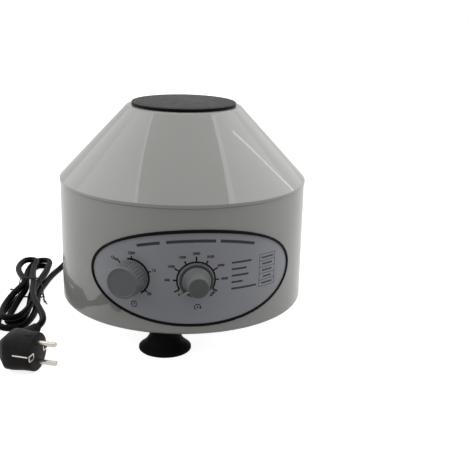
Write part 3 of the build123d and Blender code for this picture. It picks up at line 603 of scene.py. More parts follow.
# The numbers after a colour are, in order: roughness, patch, patch_share, grain, grain_depth and
# roughness_spread.
SHELL = Finish("grey_gloss_shell", Slot.HOUSING, (150, 151, 146), 0.3, 60.0, 0.02, 1.6, 0.004, 0.05,
               coat=0.3, coat_roughness=0.04, coat_index=2.4, specular=0.06)
LID_GREY = Speckled("lid_speckled", Slot.LID, (42, 42, 42), 0.5, 26.0, 0.3, 0.7, 0.03, 0.2, specular=0.07,
                    speck_size=3.2, speck_share=0.3, speck_depth=0.06)
# Near-black band on the lid's side: painted shade of the side wall and of the gap below it.
LID_EDGE_SHADE = Finish("lid_edge_shade", Slot.LID, (8, 8, 8), 0.5, 12.0, 0.1, 0.5, 0.01, 0.12, specular=0.06)
PANEL_FILM = Finish("panel_film", Slot.PANEL, (157, 158, 164), 0.36, 45.0, 0.03, 0.35, 0.006, 0.06,
                    specular=0.35)
TRIM_BLACK = Finish("trim_black", Slot.TRIM, (8, 8, 8), 0.34, 20.0, 0.1, 0.6, 0.008, 0.1, specular=0.05)
KNOB_GREY = Finish("knob_grey", Slot.KNOB, (116, 118, 119), 0.34, 12.0, 0.04, 0.45, 0.012, 0.1,
                   specular=0.15)
# Dark ring on the speed knob's skirt: painted shade and dark reflection at the foot of the barrel.
KNOB_SHADE_RING = Finish("knob_shade_ring", Slot.KNOB, (50, 51, 52), 0.45, 9.0, 0.05, 0.4, 0.008, 0.1, specular=0.2)
# Darker copy of the knob grey: painted shade on the speed knob's face, and the colour of its pointer.
KNOB_SHADE_AND_POINTER = Finish("knob_face_shade_and_pointer", Slot.KNOB, (104, 106, 105), 0.4, 9.0, 0.05, 0.4, 0.008, 0.1, specular=0.12)
# Black of the printed scales, and painted shade in the plug's slots.
PRINT_AND_SHADE_BLACK = Finish("print_and_shade_black", Slot.BLACK, (12, 12, 14), 0.5, 6.0, 0.2, 0.3, 0.003, 0.1, specular=0.05)
PRINT_GREY = Finish("print_grey", Slot.BLACK, (60, 60, 66), 0.5, 6.0, 0.1, 0.3, 0.003, 0.1, specular=0.2)
PRINT_WHITE = Finish("print_white", Slot.WHITE, (226, 226, 222), 0.5, 5.0, 0.03, 0.3, 0.003, 0.1)
RUBBER = Finish("foot_rubber", Slot.RUBBER, (8, 8, 8), 0.5, 10.0, 0.2, 0.8, 0.015, 0.2, specular=0.04)
CORD_JACKET = Jacket("cord_jacket", Slot.CORD, (12, 12, 13), 0.4, 14.0, 0.12, 0.5, 0.01, 0.14,
                     specular=0.03)
PLUG_BLACK = Jacket("plug_moulding", Slot.CORD, (43, 43, 44), 0.46, 9.0, 0.12, 0.45, 0.02, 0.16,
                    specular=0.04)
BLACK_PLASTIC = Finish("black_plastic", Slot.BLACK, (26, 26, 27), 0.42, 9.0, 0.1, 0.5, 0.01, 0.14,
                       specular=0.3)
PLATED = Finish("plated_metal", Slot.STEEL, (186, 180, 174), 0.24, 6.0, 0.05, 0.5, 0.004, 0.1,
                metallic=1.0)
CAST = Finish("cast_aluminium", Slot.CAST, (172, 174, 176), 0.46, 14.0, 0.06, 0.7, 0.03, 0.15, metallic=1.0)
TURNED = Brushed("turned_aluminium", Slot.ALUMINIUM, (196, 198, 200), 0.3, 10.0, 0.03)
SHEET = Brushed("drawn_steel", Slot.STEEL, (176, 178, 180), 0.28, 30.0, 0.03)
ZINC = Finish("zinc_steel", Slot.STEEL, (170, 172, 174), 0.34, 4.0, 0.06, 0.5, 0.01, 0.14, metallic=1.0)
IRON = Finish("core_iron", Slot.IRON, (92, 92, 96), 0.5, 5.0, 0.1, 0.5, 0.02, 0.16, metallic=1.0)
COPPER = Brushed("copper_winding", Slot.COPPER, (186, 108, 70), 0.34, 5.0, 0.08, lines=(1.0, 1.0, 30.0),
                 line_size=12.0, line_depth=0.06)
CARBON = Finish("brush_carbon", Slot.CARBON, (38, 38, 40), 0.6, 2.0, 0.15, 0.3, 0.02, 0.1)
BOARD = Finish("circuit_board", Slot.BOARD, (38, 92, 58), 0.4, 4.0, 0.12, 0.5, 0.01, 0.1)
SLEEVE_METAL = Finish("drawn_aluminium", Slot.SLEEVE, (188, 190, 192), 0.26, 12.0, 0.04, 0.6, 0.006, 0.1,
                      metallic=1.0)
TIE_BLACK = Finish("twist_tie", Slot.BLACK, (10, 10, 10), 0.4, 5.0, 0.12, 0.4, 0.02, 0.12, specular=0.03)


# The bench where pieces are put together


def add_object(name: str, data: Any) -> bpy.types.Object:
    """A new object of some data, linked to the scene."""
    made = bpy.data.objects.new(name, data)
    bpy.context.scene.collection.objects.link(made)
    return made


@dataclass
class Workbench:
    """Makes meshes of surfaces, dresses them and sets them on their bodies."""

    nodes: dict[str, bpy.types.Object]
    materials: dict[str, bpy.types.Material] = field(default_factory=dict)

    def material(self, finish: Finish) -> bpy.types.Material:
        """The material of a finish, made once."""
        if finish.name not in self.materials:
            self.materials[finish.name] = finish.make()
        return self.materials[finish.name]

    def settle(self, piece: bpy.types.Object, finish: Finish, replaced: Sequence[str] = (),
               body: str = "housing") -> bpy.types.Object:
        """Dress a piece, set it on its body and log it.

        Args:
            piece: the finished object, at the origin.
            finish: its finish.
            replaced: the CAD nodes that it stands for.
            body: the CAD body that it moves with.
        Returns:
            The piece.
        """
        piece.data.materials.clear()
        piece.data.materials.append(self.material(finish))
        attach(piece, body)
        if replaced:
            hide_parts(*replaced)
        LOG.info("%s: %s on %s", piece.name, finish.name, body)
        return piece

    def piece(self, name: str, surface: Surface, finish: Finish, *replaced: str,
              body: str = "housing") -> bpy.types.Object:
        """A mesh piece of a surface.

        Args:
            name: the piece's name.
            surface: its surface in millimetres.
            finish: its finish.
            replaced: the CAD nodes that it stands for.
            body: the CAD body that it moves with.
        Returns:
            The piece.
        """
        mesh = bpy.data.meshes.new(name)
        faces = surface.quads.tolist() + surface.triangles.tolist()
        mesh.from_pydata((surface.points * MM).tolist(), [], faces)
        work = bmesh.new()
        work.from_mesh(mesh)
        bmesh.ops.remove_doubles(work, verts=work.verts[:], dist=1e-7)
        bmesh.ops.recalc_face_normals(work, faces=work.faces[:])
        work.to_mesh(mesh)
        work.free()
        mesh.shade_smooth()
        mesh.set_sharp_from_angle(angle=math.radians(CREASE))
        return self.settle(add_object(name, mesh), finish, replaced, body)

    def dress(self, finish: Finish, *names: str) -> None:
        """Give CAD nodes a finish in place of their plain one.

        Args:
            finish: the finish.
            names: the nodes.
        """
        for name in names:
            slots = self.nodes[name].material_slots
            for slot in slots:
                slot.material = self.material(finish)
            if not slots:
                self.nodes[name].data.materials.append(self.material(finish))
            LOG.info("%s: %s", name, finish.name)


# Housing


@dataclass
class Housing:
    """The drum, the conical cover on it and the floor plate below."""

    wall: float = 3.0
    bottom_round: float = 5.0
    flange_width: float = 18.5
    plate_thick: float = 2.0
    plate_inset: float = 10.0
    cover_lip: float = 0.6
    cover_edge: float = 3.4
    rim_radius: float = 60.0
    shoulder_round: float = 1.2
    mouth_radius: float = 51.0
    collar_depth: float = 8.0
    rim_round: float = 4.0
    spigot_high: float = 2.4
    spigot_wall: float = 2.0
    gap: float = 0.3
    seam: float = 0.5
    seam_rounds: Pair = (0.35, 0.3)
    mouth_round: float = 0.8
    collar_wall: float = 2.4
    columns: int = 224

    def __post_init__(self) -> None:
        """Take the radius and the heights from the CAD nodes."""
        low, high = node_box("lower_housing")
        self.radius = float(high[0])
        self.bottom = float(low[2])
        self.edge = float(high[2]) - self.spigot_high
        self.top = float(node_box("top_cover")[1][2])

    def drum(self) -> Surface:
        """The drum turned from its wall: floor flange, bottom round, wall and spigot."""
        edge, high = self.edge, self.spigot_high
        inside = self.radius - self.wall
        spigot = inside - self.gap
        hollow = spigot - self.spigot_wall
        seat, flange = self.radius - self.plate_inset, self.radius - self.flange_width
        floor = self.bottom + self.plate_thick
        corners = [
            (seat, self.bottom), (self.radius, self.bottom), (self.radius, edge), (spigot, edge),
            (spigot, edge + high), (hollow, edge + high), (hollow, edge - high), (inside, edge - high * 2),
            (inside, floor + self.wall), (flange, floor + self.wall), (flange, floor), (seat, floor),
        ]
        return turned(rounded(corners, {1: self.bottom_round, 2: self.seam_rounds[0]}), self.columns)

    def cover(self) -> Surface:
        """The cover turned from its wall: upright edge, cone, rim and the collar of the mouth."""
        radius = self.radius + self.cover_lip
        shoulder = self.edge + self.cover_edge
        slope = (radius - self.rim_radius) / (self.top - shoulder)
        thick = self.wall * math.hypot(1, slope)
        inside = self.radius - self.wall
        collar = self.mouth_radius + self.collar_wall
        under = self.top - self.wall
        corners = [
            (radius - self.seam, self.edge), (radius, self.edge + self.seam), (radius, shoulder),
            (self.rim_radius, self.top), (self.mouth_radius, self.top),
            (self.mouth_radius, self.top - self.collar_depth), (collar, self.top - self.collar_depth),
            (collar, under), (radius - thick - (under - shoulder) * slope, under),
            (inside, shoulder + (radius - thick - inside) / slope), (inside, self.edge),
        ]
        rounds = {1: self.seam_rounds[1], 2: self.shoulder_round, 3: self.rim_round, 4: self.mouth_round}
        return turned(rounded(corners, rounds, 9), self.columns)

    def build(self, bench: Workbench) -> None:
        """Make the housing's pieces."""
        bench.piece("drum", self.drum(), SHELL, "lower_housing")
        bench.piece("cone_cover", self.cover(), SHELL, "top_cover")
        bench.dress(ZINC, "base_plate")


@dataclass
class Lid:
    """The lid: a disc with a sloping bead at its rim, a dark edge band below it that paints the shade of its
    side and of the gap under it, and a spigot.
    """

    bead_width: float = 3.0
    bead_rise: float = 0.45
    crown: float = 0.3
    groove: float = 0.5
    groove_half: float = 0.8
    spigot: float = 50.2
    spigot_wall: float = 2.2
    spigot_deep: float = 4.5
    edge_proud: float = 0.06
    edge_deep: float = 1.0
    edge_low: float = 0.2
    edge_high: float = 0.1
    columns: int = 192

    def __post_init__(self) -> None:
        """Take the radius and the heights from the CAD node."""
        low, high = node_box("lid")
        self.radius = float(high[0])
        self.top = float(high[2]) - self.crown
        self.bottom = float(low[2]) + self.spigot_deep

    def body(self) -> Surface:
        """The disc turned from its outline.

        Inside the bead a groove dips by a raised cosine, and from there the top rises to the middle
        with the square of what is left of the radius.
        """
        inner, outer = self.radius - self.bead_width, self.radius - self.edge_proud
        hollow, deep = self.spigot - self.spigot_wall, self.bottom - self.spigot_deep
        corners = [
            (0.0, self.bottom), (hollow, self.bottom), (hollow, deep), (self.spigot, deep),
            (self.spigot, self.bottom), (outer, self.bottom), (outer, self.top - self.bead_rise),
            (inner, self.top),
        ]
        outline = rounded(corners, {3: 0.6, 5: 0.4, 6: 0.35}, 7, closed=False)
        share = np.linspace(0, 1, 9)[1:]
        dip = self.groove * (1 - np.cos(2 * math.pi * share)) / 2
        groove = np.column_stack([inner - 2 * self.groove_half * share, self.top - dip])
        share = np.linspace(1, 0, 26)[1:]
        rise = self.crown * (1 - share**2)
        crown = np.column_stack([groove[-1, 0] * share, self.top + rise])
        return turned(np.concatenate([outline, groove, crown]), self.columns)

    def edge(self) -> Surface:
        """The dark band round the disc's edge: painted shade of the side wall and of the gap below it."""
        inside = self.radius - self.edge_deep
        low, high = self.bottom + self.edge_low, self.top - self.bead_rise - self.edge_high
        corners = oblong(inside, self.radius, low, high)
        return turned(rounded(corners, {1: 0.3, 2: 0.3}, 5), self.columns)

    def build(self, bench: Workbench) -> None:
        """Make the lid."""
        bench.piece("lid_disc", self.body(), LID_GREY, "lid", body="lid")
        # painted shade round the lid's edge
        bench.piece("lid_edge_shade", self.edge(), LID_EDGE_SHADE, body="lid")


@dataclass
class Foot:
    """A rubber suction foot: stem, flared cup and thin lip."""

    neck: float = 13.2
    radius: float = 26.3
    cup_radius: float = 22.3
    cup_depth: float = 3.4
    rim: float = 2.6
    lip: float = 0.8
    height: float = 24.0
    flare: tuple[Pair, ...] = ((6.4, 8.2), (2.6, 14.5))

    def shape(self) -> Surface:
        """The foot turned from its outline. The flare's points are (past the neck, height)."""
        corners = [
            (0.0, self.cup_depth), (self.cup_radius - self.cup_depth, self.cup_depth),
            (self.cup_radius, 0.0), (self.radius - self.lip, 0.0), (self.radius, self.lip),
            (self.radius, self.rim), *((self.neck + past, height) for past, height in self.flare),
            (self.neck, self.height), (0.0, self.height),
        ]
        rounds = {1: 6.0, 4: 0.7, 5: 0.9, 6: 11.0, 7: 20.0, 8: 0.4}
        return turned(rounded(corners, rounds, 8, closed=False), 96)

    def build(self, bench: Workbench) -> None:
        """Make the three feet, each where its CAD node stands."""
        for name in ("foot_front", "foot_right", "foot_left"):
            low, high = node_box(name)
            middle = (low + high) / 2
            surface = self.shape().placed(shifted(middle[0], middle[1]))
            bench.piece(f"{name}_cup", surface, RUBBER, name)


# Panel


@dataclass
class Panel:
    """The oval panel laid round the drum, its trim and the prints on it."""

    radius: float = 130.0
    height: float = 83.1
    half_width: float = 110.2
    half_height: float = 48.8
    trim_width: float = 2.8
    trim_stand: float = 2.8
    thick: float = 1.5
    print_thick: float = 0.06
    sunk: float = 0.02
    rings: int = 28
    columns: int = 288

    def wrapped(self, flat: Array) -> Array:
        """Points of the drum's face from (along, height, stand) points.

        Along is measured round the drum, so the azimuth is along / radius, and the distance from
        the spin axis is radius + stand.

        Args:
            flat: the points, in an array of any shape whose last axis holds the three values.
        Returns:
            The points of the object's frame, in an array of that shape.
        """
        azimuth = np.degrees(flat[..., 0] / self.radius)
        points = radial(azimuth) * (self.radius + flat[..., 2:3])
        points[..., 2] = flat[..., 1]
        return points

    def oval(self, inset: Array, angle: Array) -> tuple[Array, Array]:
        """Along and height of the oval, drawn in by an inset."""
        along = (self.half_width - inset) * np.cos(angle)
        return along, self.height + (self.half_height - inset) * np.sin(angle)

    def plate(self) -> Surface:
        """The plate: rings of the oval that shrink to its middle, on its face and its back."""
        angle = even_angles(self.columns)
        share = np.concatenate([np.linspace(0, 1, self.rings), np.linspace(1, 0, self.rings)])[:, None]
        stand = np.repeat([self.thick, self.sunk], self.rings)[:, None]
        along = (self.half_width - self.trim_width) * share * np.cos(angle)
        height = self.height + (self.half_height - self.trim_width) * share * np.sin(angle)
        flat = np.stack([along, height, np.broadcast_to(stand, along.shape)], axis=-1)
        return grid(self.wrapped(flat), wrap_columns=True)

    def trim(self) -> Surface:
        """The trim: a rounded bar carried round the oval, from its outer to its inner line."""
        corners = oblong(0.0, self.trim_width, 0.0, self.trim_stand)
        profile = rounded(corners, {2: 0.7, 3: 0.9}, 6)[:-1]
        angle = even_angles(self.columns)[:, None]
        along, height = self.oval(profile[None, :, 0], angle)
        stand = np.broadcast_to(profile[None, :, 1], along.shape)
        return grid(self.wrapped(np.stack([along, height, stand], axis=-1)), True, True)

    def stroke(self, line: Array, width: float) -> Surface:
        """A printed line: a thin bar with closed ends.

        Args:
            line: its (along, height) points.
            width: how wide it is.
        Returns:
            The bar, wrapped on the panel.
        """
        along = unit(np.gradient(line, axis=0))
        side = np.column_stack([-along[:, 1], along[:, 0]]) * width / 2
        low, high = self.thick - self.sunk, self.thick + self.print_thick
        rows = [(line + side, low), (line + side, high), (line - side, high), (line - side, low)]
        sides = np.stack([np.column_stack([row, np.full(len(row), z)]) for row, z in rows], axis=1)
        middle = np.column_stack([line, np.full(len(line), (low + high) / 2)])[[0, -1], None]
        ends = np.repeat(middle, 4, axis=1)
        return grid(self.wrapped(np.concatenate([ends[:1], sides, ends[1:]])), wrap_columns=True)

    def arc(self, middle: Pair, radius: float, start: float, end: float, width: float) -> Surface:
        """A printed arc about a middle, from one clock angle to another."""
        angle = np.radians(np.linspace(start, end, max(8, int(abs(end - start) / 2))))
        line = np.column_stack([middle[0] + radius * np.sin(angle), middle[1] + radius * np.cos(angle)])
        return self.stroke(line, width)

    def tick(self, middle: Pair, clock: float, near: float, far: float, width: float) -> Surface:
        """A printed tick along a clock angle."""
        way = np.array([math.sin(math.radians(clock)), math.cos(math.radians(clock))])
        line = np.array(middle) + np.linspace(near, far, 4)[:, None] * way
        return self.stroke(line, width)

    def words(self, text: str, spot: Pair, size: float, lean: float = 0.0) -> Surface:
        """Printed figures, centred on a spot of the panel.

        Args:
            text: the figures.
            spot: along and height of their middle.
            size: height of the font in millimetres.
            lean: how far they are turned anticlockwise, in degrees.
        Returns:
            Their surface, wrapped on the panel.
        """
        curve = bpy.data.curves.new("figures", "FONT")
        curve.body, curve.size = text, size
        curve.align_x, curve.align_y = "CENTER", "CENTER"
        curve.extrude = self.print_thick
        curve.offset = size * 0.03
        holder = add_object("figures", curve)
        mesh = bpy.data.meshes.new_from_object(holder)
        mesh.calc_loop_triangles()
        points = np.empty(len(mesh.vertices) * 3)
        mesh.vertices.foreach_get("co", points)
        triangles = np.empty(len(mesh.loop_triangles) * 3, int)
        mesh.loop_triangles.foreach_get("vertices", triangles)
        bpy.data.objects.remove(holder)
        bpy.data.curves.remove(curve)
        bpy.data.meshes.remove(mesh)
        flat = points.reshape(-1, 3) @ spun(lean)[:3, :3].T
        flat += (spot[0], spot[1], self.thick + self.print_thick / 2)
        return Surface(self.wrapped(flat), triangles=triangles.reshape(-1, 3))

    def build(self, bench: Workbench) -> None:
        """Make the plate and the trim."""
        bench.piece("panel_face", self.plate(), PANEL_FILM, "panel_plate")
        bench.piece("panel_rim", self.trim(), TRIM_BLACK, "panel_trim")


@dataclass
class Dial:
    """A knob's printed scale: an arc with marks and figures at clock angles about the knob."""

    panel: Panel
    along: float = 0.0
    height: float = 81.9
    arc_radius: float = 18.3
    arc_start: float = -120.0
    arc_end: float = 120.0
    arc_line: float = 1.6
    line: float = 1.45
    figure_size: float = 3.5
    sign: Pair = (1.6, -27.5)
    sign_radius: float = 2.9
    sign_ring: float = 0.75
    sign_line: float = 0.7

    def spot(self, clock: float = 0.0, radius: float = 0.0) -> Pair:
        """Along and height of a point at a clock angle."""
        angle = math.radians(clock)
        return (self.along + radius * math.sin(angle), self.height + radius * math.cos(angle))

    def arc(self) -> Surface:
        """The arc."""
        return self.panel.arc(self.spot(), self.arc_radius, self.arc_start, self.arc_end, self.arc_line)

    def tick(self, clock: float, far: float, near: float | None = None) -> Surface:
        """A mark, from the arc or from a nearer point."""
        return self.panel.tick(self.spot(), clock, near or self.arc_radius, far, self.line)

    def words(self, text: str, clock: float, radius: float, lean: float = 0.0) -> Surface:
        """A figure."""
        return self.panel.words(text, self.spot(clock, radius), self.figure_size, lean)

    def sign_middle(self) -> Pair:
        """Along and height of the middle of the sign below."""
        return (self.along + self.sign[0], self.height + self.sign[1])


@dataclass
class TimerDial(Dial):
    """The timer's scale, with a clock below."""

    along: float = -63.2
    arc_radius: float = 18.15
    arc_start: float = -12.0
    arc_end: float = 146.0
    arc_line: float = 1.9
    line: float = 1.4
    figure_size: float = 4.1
    sign: Pair = (3.2, -27.2)
    tick_end: float = 21.4
    figures: tuple[tuple[str, float, float], ...] = (
        ("OFF", 2.0, 24.0), ("15", 69.0, 24.7), ("30", 129.5, 24.0))
    on_mark: tuple[float, float, float] = (-42.5, 21.9, 17.0)
    on_figure: tuple[str, float, float, float] = ("ON", -48.5, 24.4, -20.0)
    hands: tuple[Pair, ...] = ((0, 2.1), (90, 1.6))
    hand_tail: float = -0.2

    def build(self, bench: Workbench) -> None:
        """Print the scale."""
        prints = [self.arc()]
        for text, clock, radius in self.figures:
            prints += [self.tick(clock, self.tick_end), self.words(text, clock, radius)]
        prints += [self.tick(*self.on_mark), self.words(*self.on_figure), *self.clock_sign()]
        bench.piece("timer_scale", together(prints), PRINT_AND_SHADE_BLACK)

    def clock_sign(self) -> list[Surface]:
        """A plain clock: a ring with two hands."""
        panel, middle = self.panel, self.sign_middle()
        hands = [panel.tick(middle, clock, self.hand_tail, end, self.sign_line) for clock, end in self.hands]
        return [panel.arc(middle, self.sign_radius, 0, 360, self.sign_ring), *hands]


@dataclass
class SpeedDial(Dial):
    """The speed's scale of nine marks, with an arrow round a point below."""

    step: int = 500
    count: int = 9
    short_end: float = 22.2
    long_end: float = 23.9
    figure_radius: float = 26.8
    end_radius: float = 21.6
    end_clock: float = 132.0
    end_lean: float = 45.0
    wide_share: float = 0.45
    arrow: Pair = (-150.0, 120.0)
    arrow_head: tuple[Pair, ...] = ((1.5, 0.5), (-0.35, 1.55))

    def figure(self, index: int, clock: float) -> Surface:
        """A mark's figure: upright round the arc, and leaning close to the knob at the two ends.

        Args:
            index: the mark's number, from 0.
            clock: its clock angle.
        Returns:
            The printed figure.
        """
        text = str(index * self.step)
        side = math.copysign(1, clock)
        if index in (0, self.count - 1):
            return self.words(text, side * self.end_clock, self.end_radius, side * self.end_lean)
        wide = self.wide_share * len(text) * max(0.0, abs(math.sin(math.radians(clock))) - 0.5)
        return self.words(text, clock, self.figure_radius + wide)

    def build(self, bench: Workbench) -> None:
        """Print the scale."""
        prints = [self.arc()]
        for index in range(self.count):
            clock = self.arc_start + 2 * self.arc_end * index / (self.count - 1)
            end = self.short_end if index % 2 else self.long_end
            prints += [self.tick(clock, end), self.figure(index, clock)]
        bench.piece("speed_scale", together(prints + self.turning_sign()), PRINT_AND_SHADE_BLACK)

    def turning_sign(self) -> list[Surface]:
        """A plain arrow that runs round a point."""
        panel, middle = self.panel, self.sign_middle()
        tip = math.radians(self.arrow[1])
        end = np.array(middle) + self.sign_radius * np.array([math.sin(tip), math.cos(tip)])
        head = [panel.stroke(np.linspace(end, end + way, 3), self.sign_line) for way in self.arrow_head]
        ring = panel.arc(middle, self.sign_radius, *self.arrow, self.sign_ring)
        return [ring, panel.arc(middle, 0.4, 0, 360, 0.8), *head]


@dataclass
class RatingTable:
    """The table at the panel's right and the title above, bare: rules and bars stand for the words."""

    panel: Panel
    left: float = 35.0
    leads: tuple[float, ...] = (21.5, 16.0, 18.5, 12.0, 28.0)
    entries: tuple[float, ...] = (16.0, 13.5, 13.0, 10.5, 14.5)
    box_left: float = 66.4
    box_right: float = 87.0
    low: float = 67.2
    high: float = 100.4
    bar: float = 2.0
    line: float = 0.5
    title: tuple[Pair, ...] = ((-57.0, -34.5), (-28.5, 18.5), (23.0, 59.5))
    title_bar: float = 3.0
    title_height: float = 121.2
    title_sag: float = 7.6
    title_reach: float = 60.0

    def build(self, bench: Workbench) -> None:
        """Print the table and the bars in place of a title."""
        heights = np.linspace(self.high, self.low, len(self.leads) + 1)
        rules = [self.level(self.box_left, self.box_right, height, self.line) for height in heights]
        for along in (self.box_left, self.box_right):
            line = np.column_stack([np.full(8, along), np.linspace(self.low, self.high, 8)])
            rules.append(self.panel.stroke(line, self.line))
        bench.piece("rating_rules", together(rules), PRINT_GREY)
        bars = []
        middles = (heights[:-1] + heights[1:]) / 2
        centre = (self.box_left + self.box_right) / 2
        for height, lead, entry in zip(middles, self.leads, self.entries):
            bars.append(self.level(self.left, self.left + lead, height, self.bar))
            bars.append(self.level(centre - entry / 2, centre + entry / 2, height, self.bar * 0.8))
        for start, end in self.title:
            along = np.linspace(start, end, 32)
            height = self.title_height - self.title_sag * (along / self.title_reach) ** 2
            bars.append(self.panel.stroke(np.column_stack([along, height]), self.title_bar))
        bench.piece("rating_bars", together(bars), PRINT_GREY)

    def level(self, start: float, end: float, height: float, width: float) -> Surface:
        """A level printed line."""
        along = np.linspace(start, end, 12)
        return self.panel.stroke(np.column_stack([along, np.full(12, height)]), width)


# Knobs


@dataclass
class Knob:
    """A knob on its spindle: its place, and the bore and the room for the nut in its back."""

    azimuth: float = 0.0
    height: float = 81.9
    base: float = 132.1
    depth: float = 22.4
    nut_room: float = 9.6
    nut_deep: float = 5.0
    bore: float = 3.0
    bore_deep: float = 12.0

    def place(self) -> Array:
        """Place of the knob: z runs out along its axis."""
        return outwards(self.azimuth, self.height) @ shifted(z=self.base)

    def back(self) -> list[Pair]:
        """Corners of the back, from the bore's end out to the nut's room."""
        return [(0.0, self.bore_deep), (self.bore, self.bore_deep), (self.bore, self.nut_deep),
                (self.nut_room, self.nut_deep), (self.nut_room, 0.0)]


@dataclass
class TimerKnob(Knob):
    """The timer's knob: a fluted skirt, a smooth band and a face with a shallow dish."""

    azimuth: float = -27.855
    depth: float = 19.9
    radius: float = 16.8
    foot: float = 1.6
    collar: float = 15.8
    face: float = 15.2
    edge: float = 0.9
    band: float = 2.4
    flutes: int = 30
    flute_depth: float = 0.7
    flute_foot: float = 1.5
    flute_fades: Pair = (0.7, 1.0)
    dish_radius: float = 13.6
    dish: float = 0.35

    def shape(self) -> Surface:
        """The knob turned from its outline, with flutes.

        A flute's depth over the angle a is a raised cosine of flutes * a to the third power, and
        over the height it fades in above the base ring and out below the collar.
        """
        corners = self.back() + [
            (self.radius, 0.0), (self.radius, self.foot), (self.collar, self.depth - self.edge),
            (self.face, self.depth), (self.dish_radius, self.depth),
            (self.dish_radius - self.dish, self.depth - self.dish), (0.0, self.depth - self.dish),
        ]
        coarse = rounded(corners, {5: 0.3, 6: 0.3, 7: 0.5, 8: 0.4, 9: 0.15, 10: 0.15}, 5, closed=False)
        outline = self.finer(coarse, 0.5)
        columns = self.flutes * 12
        angle = even_angles(columns)
        height = outline[:, 1:]
        top = self.depth - self.band
        low_fade, high_fade = self.flute_fades
        fade = np.clip((height - self.flute_foot) / low_fade, 0, 1)
        fade = fade * np.clip((top - height) / high_fade, 0, 1)
        outer = outline[:, :1] > self.nut_room + 3
        wave = (0.5 + 0.5 * np.cos(self.flutes * angle)) ** 3
        return turned(outline, columns, -self.flute_depth * wave * fade * outer)

    @staticmethod
    def finer(outline: Array, step: float) -> Array:
        """The outline with points added on its long sides.

        Args:
            outline: its points in rows.
            step: about how far apart they then are.
        Returns:
            The points.
        """
        pieces = []
        for start, end in zip(outline[:-1], outline[1:]):
            count = max(1, int(np.linalg.norm(end - start) / step))
            share = np.linspace(0, 1, count, endpoint=False)[:, None]
            pieces.append(start + (end - start) * share)
        return np.concatenate([*pieces, outline[-1:]])

    def build(self, bench: Workbench) -> None:
        """Make the knob."""
        surface = self.shape().placed(self.place())
        bench.piece("timer_knob_grip", surface, KNOB_GREY, "timer_knob", body="timer_knob")


@dataclass
class SpeedKnob(Knob):
    """The speed's knob: a flat skirt that sweeps up into a barrel, a face disc and a ring painted dark as
    shade, and a pointer.
    """

    skirt: float = 16.8
    skirt_thick: float = 1.8
    barrel: float = 12.2
    face: float = 9.7
    face_round: float = 0.4
    sweep: tuple[Pair, ...] = ((1.6, 1.0), (-0.3, 3.2))
    face_shade_thick: float = 0.1
    ring_stand: float = 0.06
    pointer_clock: float = -136.5
    pointer_tip: Pair = (18.9, 2.0)
    pointer_root: Pair = (10.2, 9.8)
    pointer_wide: float = 2.3
    pointer_line: float = 1.1

    def shape(self) -> Surface:
        """The knob turned from its outline. The sweep's points are (past the barrel, over the skirt)."""
        corners = self.back() + [
            (self.skirt, 0.0), (self.skirt, self.skirt_thick),
            *((self.barrel + past, self.skirt_thick + over) for past, over in self.sweep),
            (self.face + self.face_round, self.depth - 0.6), (self.face - self.face_round, self.depth),
            (0.0, self.depth),
        ]
        rounds = {5: 0.3, 6: 0.5, 7: 2.4, 8: 5.0, 9: self.face_round, 10: self.face_round}
        return turned(rounded(corners, rounds, 7, closed=False), 144)

    def face_shade_disc(self) -> Surface:
        """The thin disc on the face, a darker copy of the knob's grey: painted shade on the face."""
        corners = oblong(0.0, self.face - self.face_round, self.depth - 0.02, self.depth + self.face_shade_thick)
        return turned(rounded(corners, {2: 0.08}, 4, closed=False), 96)

    def ring(self) -> Surface:
        """The dark ring that lies on the skirt's slope: painted shade and dark reflection where the skirt
        sweeps up into the barrel.
        """
        past, rise = self.sweep[0]
        slope = rise / (self.skirt - self.barrel - past)
        corners = []
        for radius, offsets in ((self.barrel + 0.8, (-0.1, self.ring_stand)),
                                (self.skirt - 0.6, (self.ring_stand, -0.1))):
            height = self.skirt_thick + (self.skirt - radius) * slope
            corners += [(radius, height + offset) for offset in offsets]
        return turned(rounded(corners, {1: 0.05, 2: 0.05}, 3), 144)

    def fin(self, width: float, lift: float, foot: float) -> Surface:
        """The pointer's fin, whose top runs straight from the barrel down to the tip.

        Args:
            width: how wide it is.
            lift: how far its top stands over the line from the root to the tip.
            foot: how far below the tip its underside lies.
        Returns:
            The fin, pointing up the knob's face.
        """
        tip, root = np.array(self.pointer_tip), np.array(self.pointer_root)
        corners = np.array([root, tip, tip - (0.2, foot), (root[0], tip[1] - foot)])
        corners[:2] += (0.0, lift)
        profile = rounded(corners, {1: 0.25}, 4)[:-1]
        middle = corners.mean(axis=0)
        path = np.array([[-width / 2, *middle], [width / 2, *middle]])
        return carried(path, (0.0, 1.0, 0.0), (0.0, 0.0, 1.0), (profile - middle)[::-1])

    def build(self, bench: Workbench) -> None:
        """Make the knob, its face disc and ring of painted shade, and its pointer."""
        place = self.place()
        turn = place @ spun(-self.pointer_clock)
        body = "speed_knob"
        bench.piece("speed_knob_barrel", self.shape().placed(place), KNOB_GREY, "speed_knob", body=body)
        for name, surface, finish in (
            # painted shade on the knob's face
            ("speed_knob_face_shade", self.face_shade_disc().placed(place), KNOB_SHADE_AND_POINTER),
            # painted shade ring at the barrel's foot
            ("speed_knob_shade_ring", self.ring().placed(place), KNOB_SHADE_RING),
            ("speed_pointer", self.fin(self.pointer_wide, 0.0, 1.0).placed(turn), KNOB_SHADE_AND_POINTER),
            ("speed_pointer_line", self.fin(self.pointer_line, 0.1, 0.3).placed(turn), PRINT_WHITE),
        ):
            bench.piece(name, surface, finish, body=body)


# Rear fittings, rotor and what lies inside


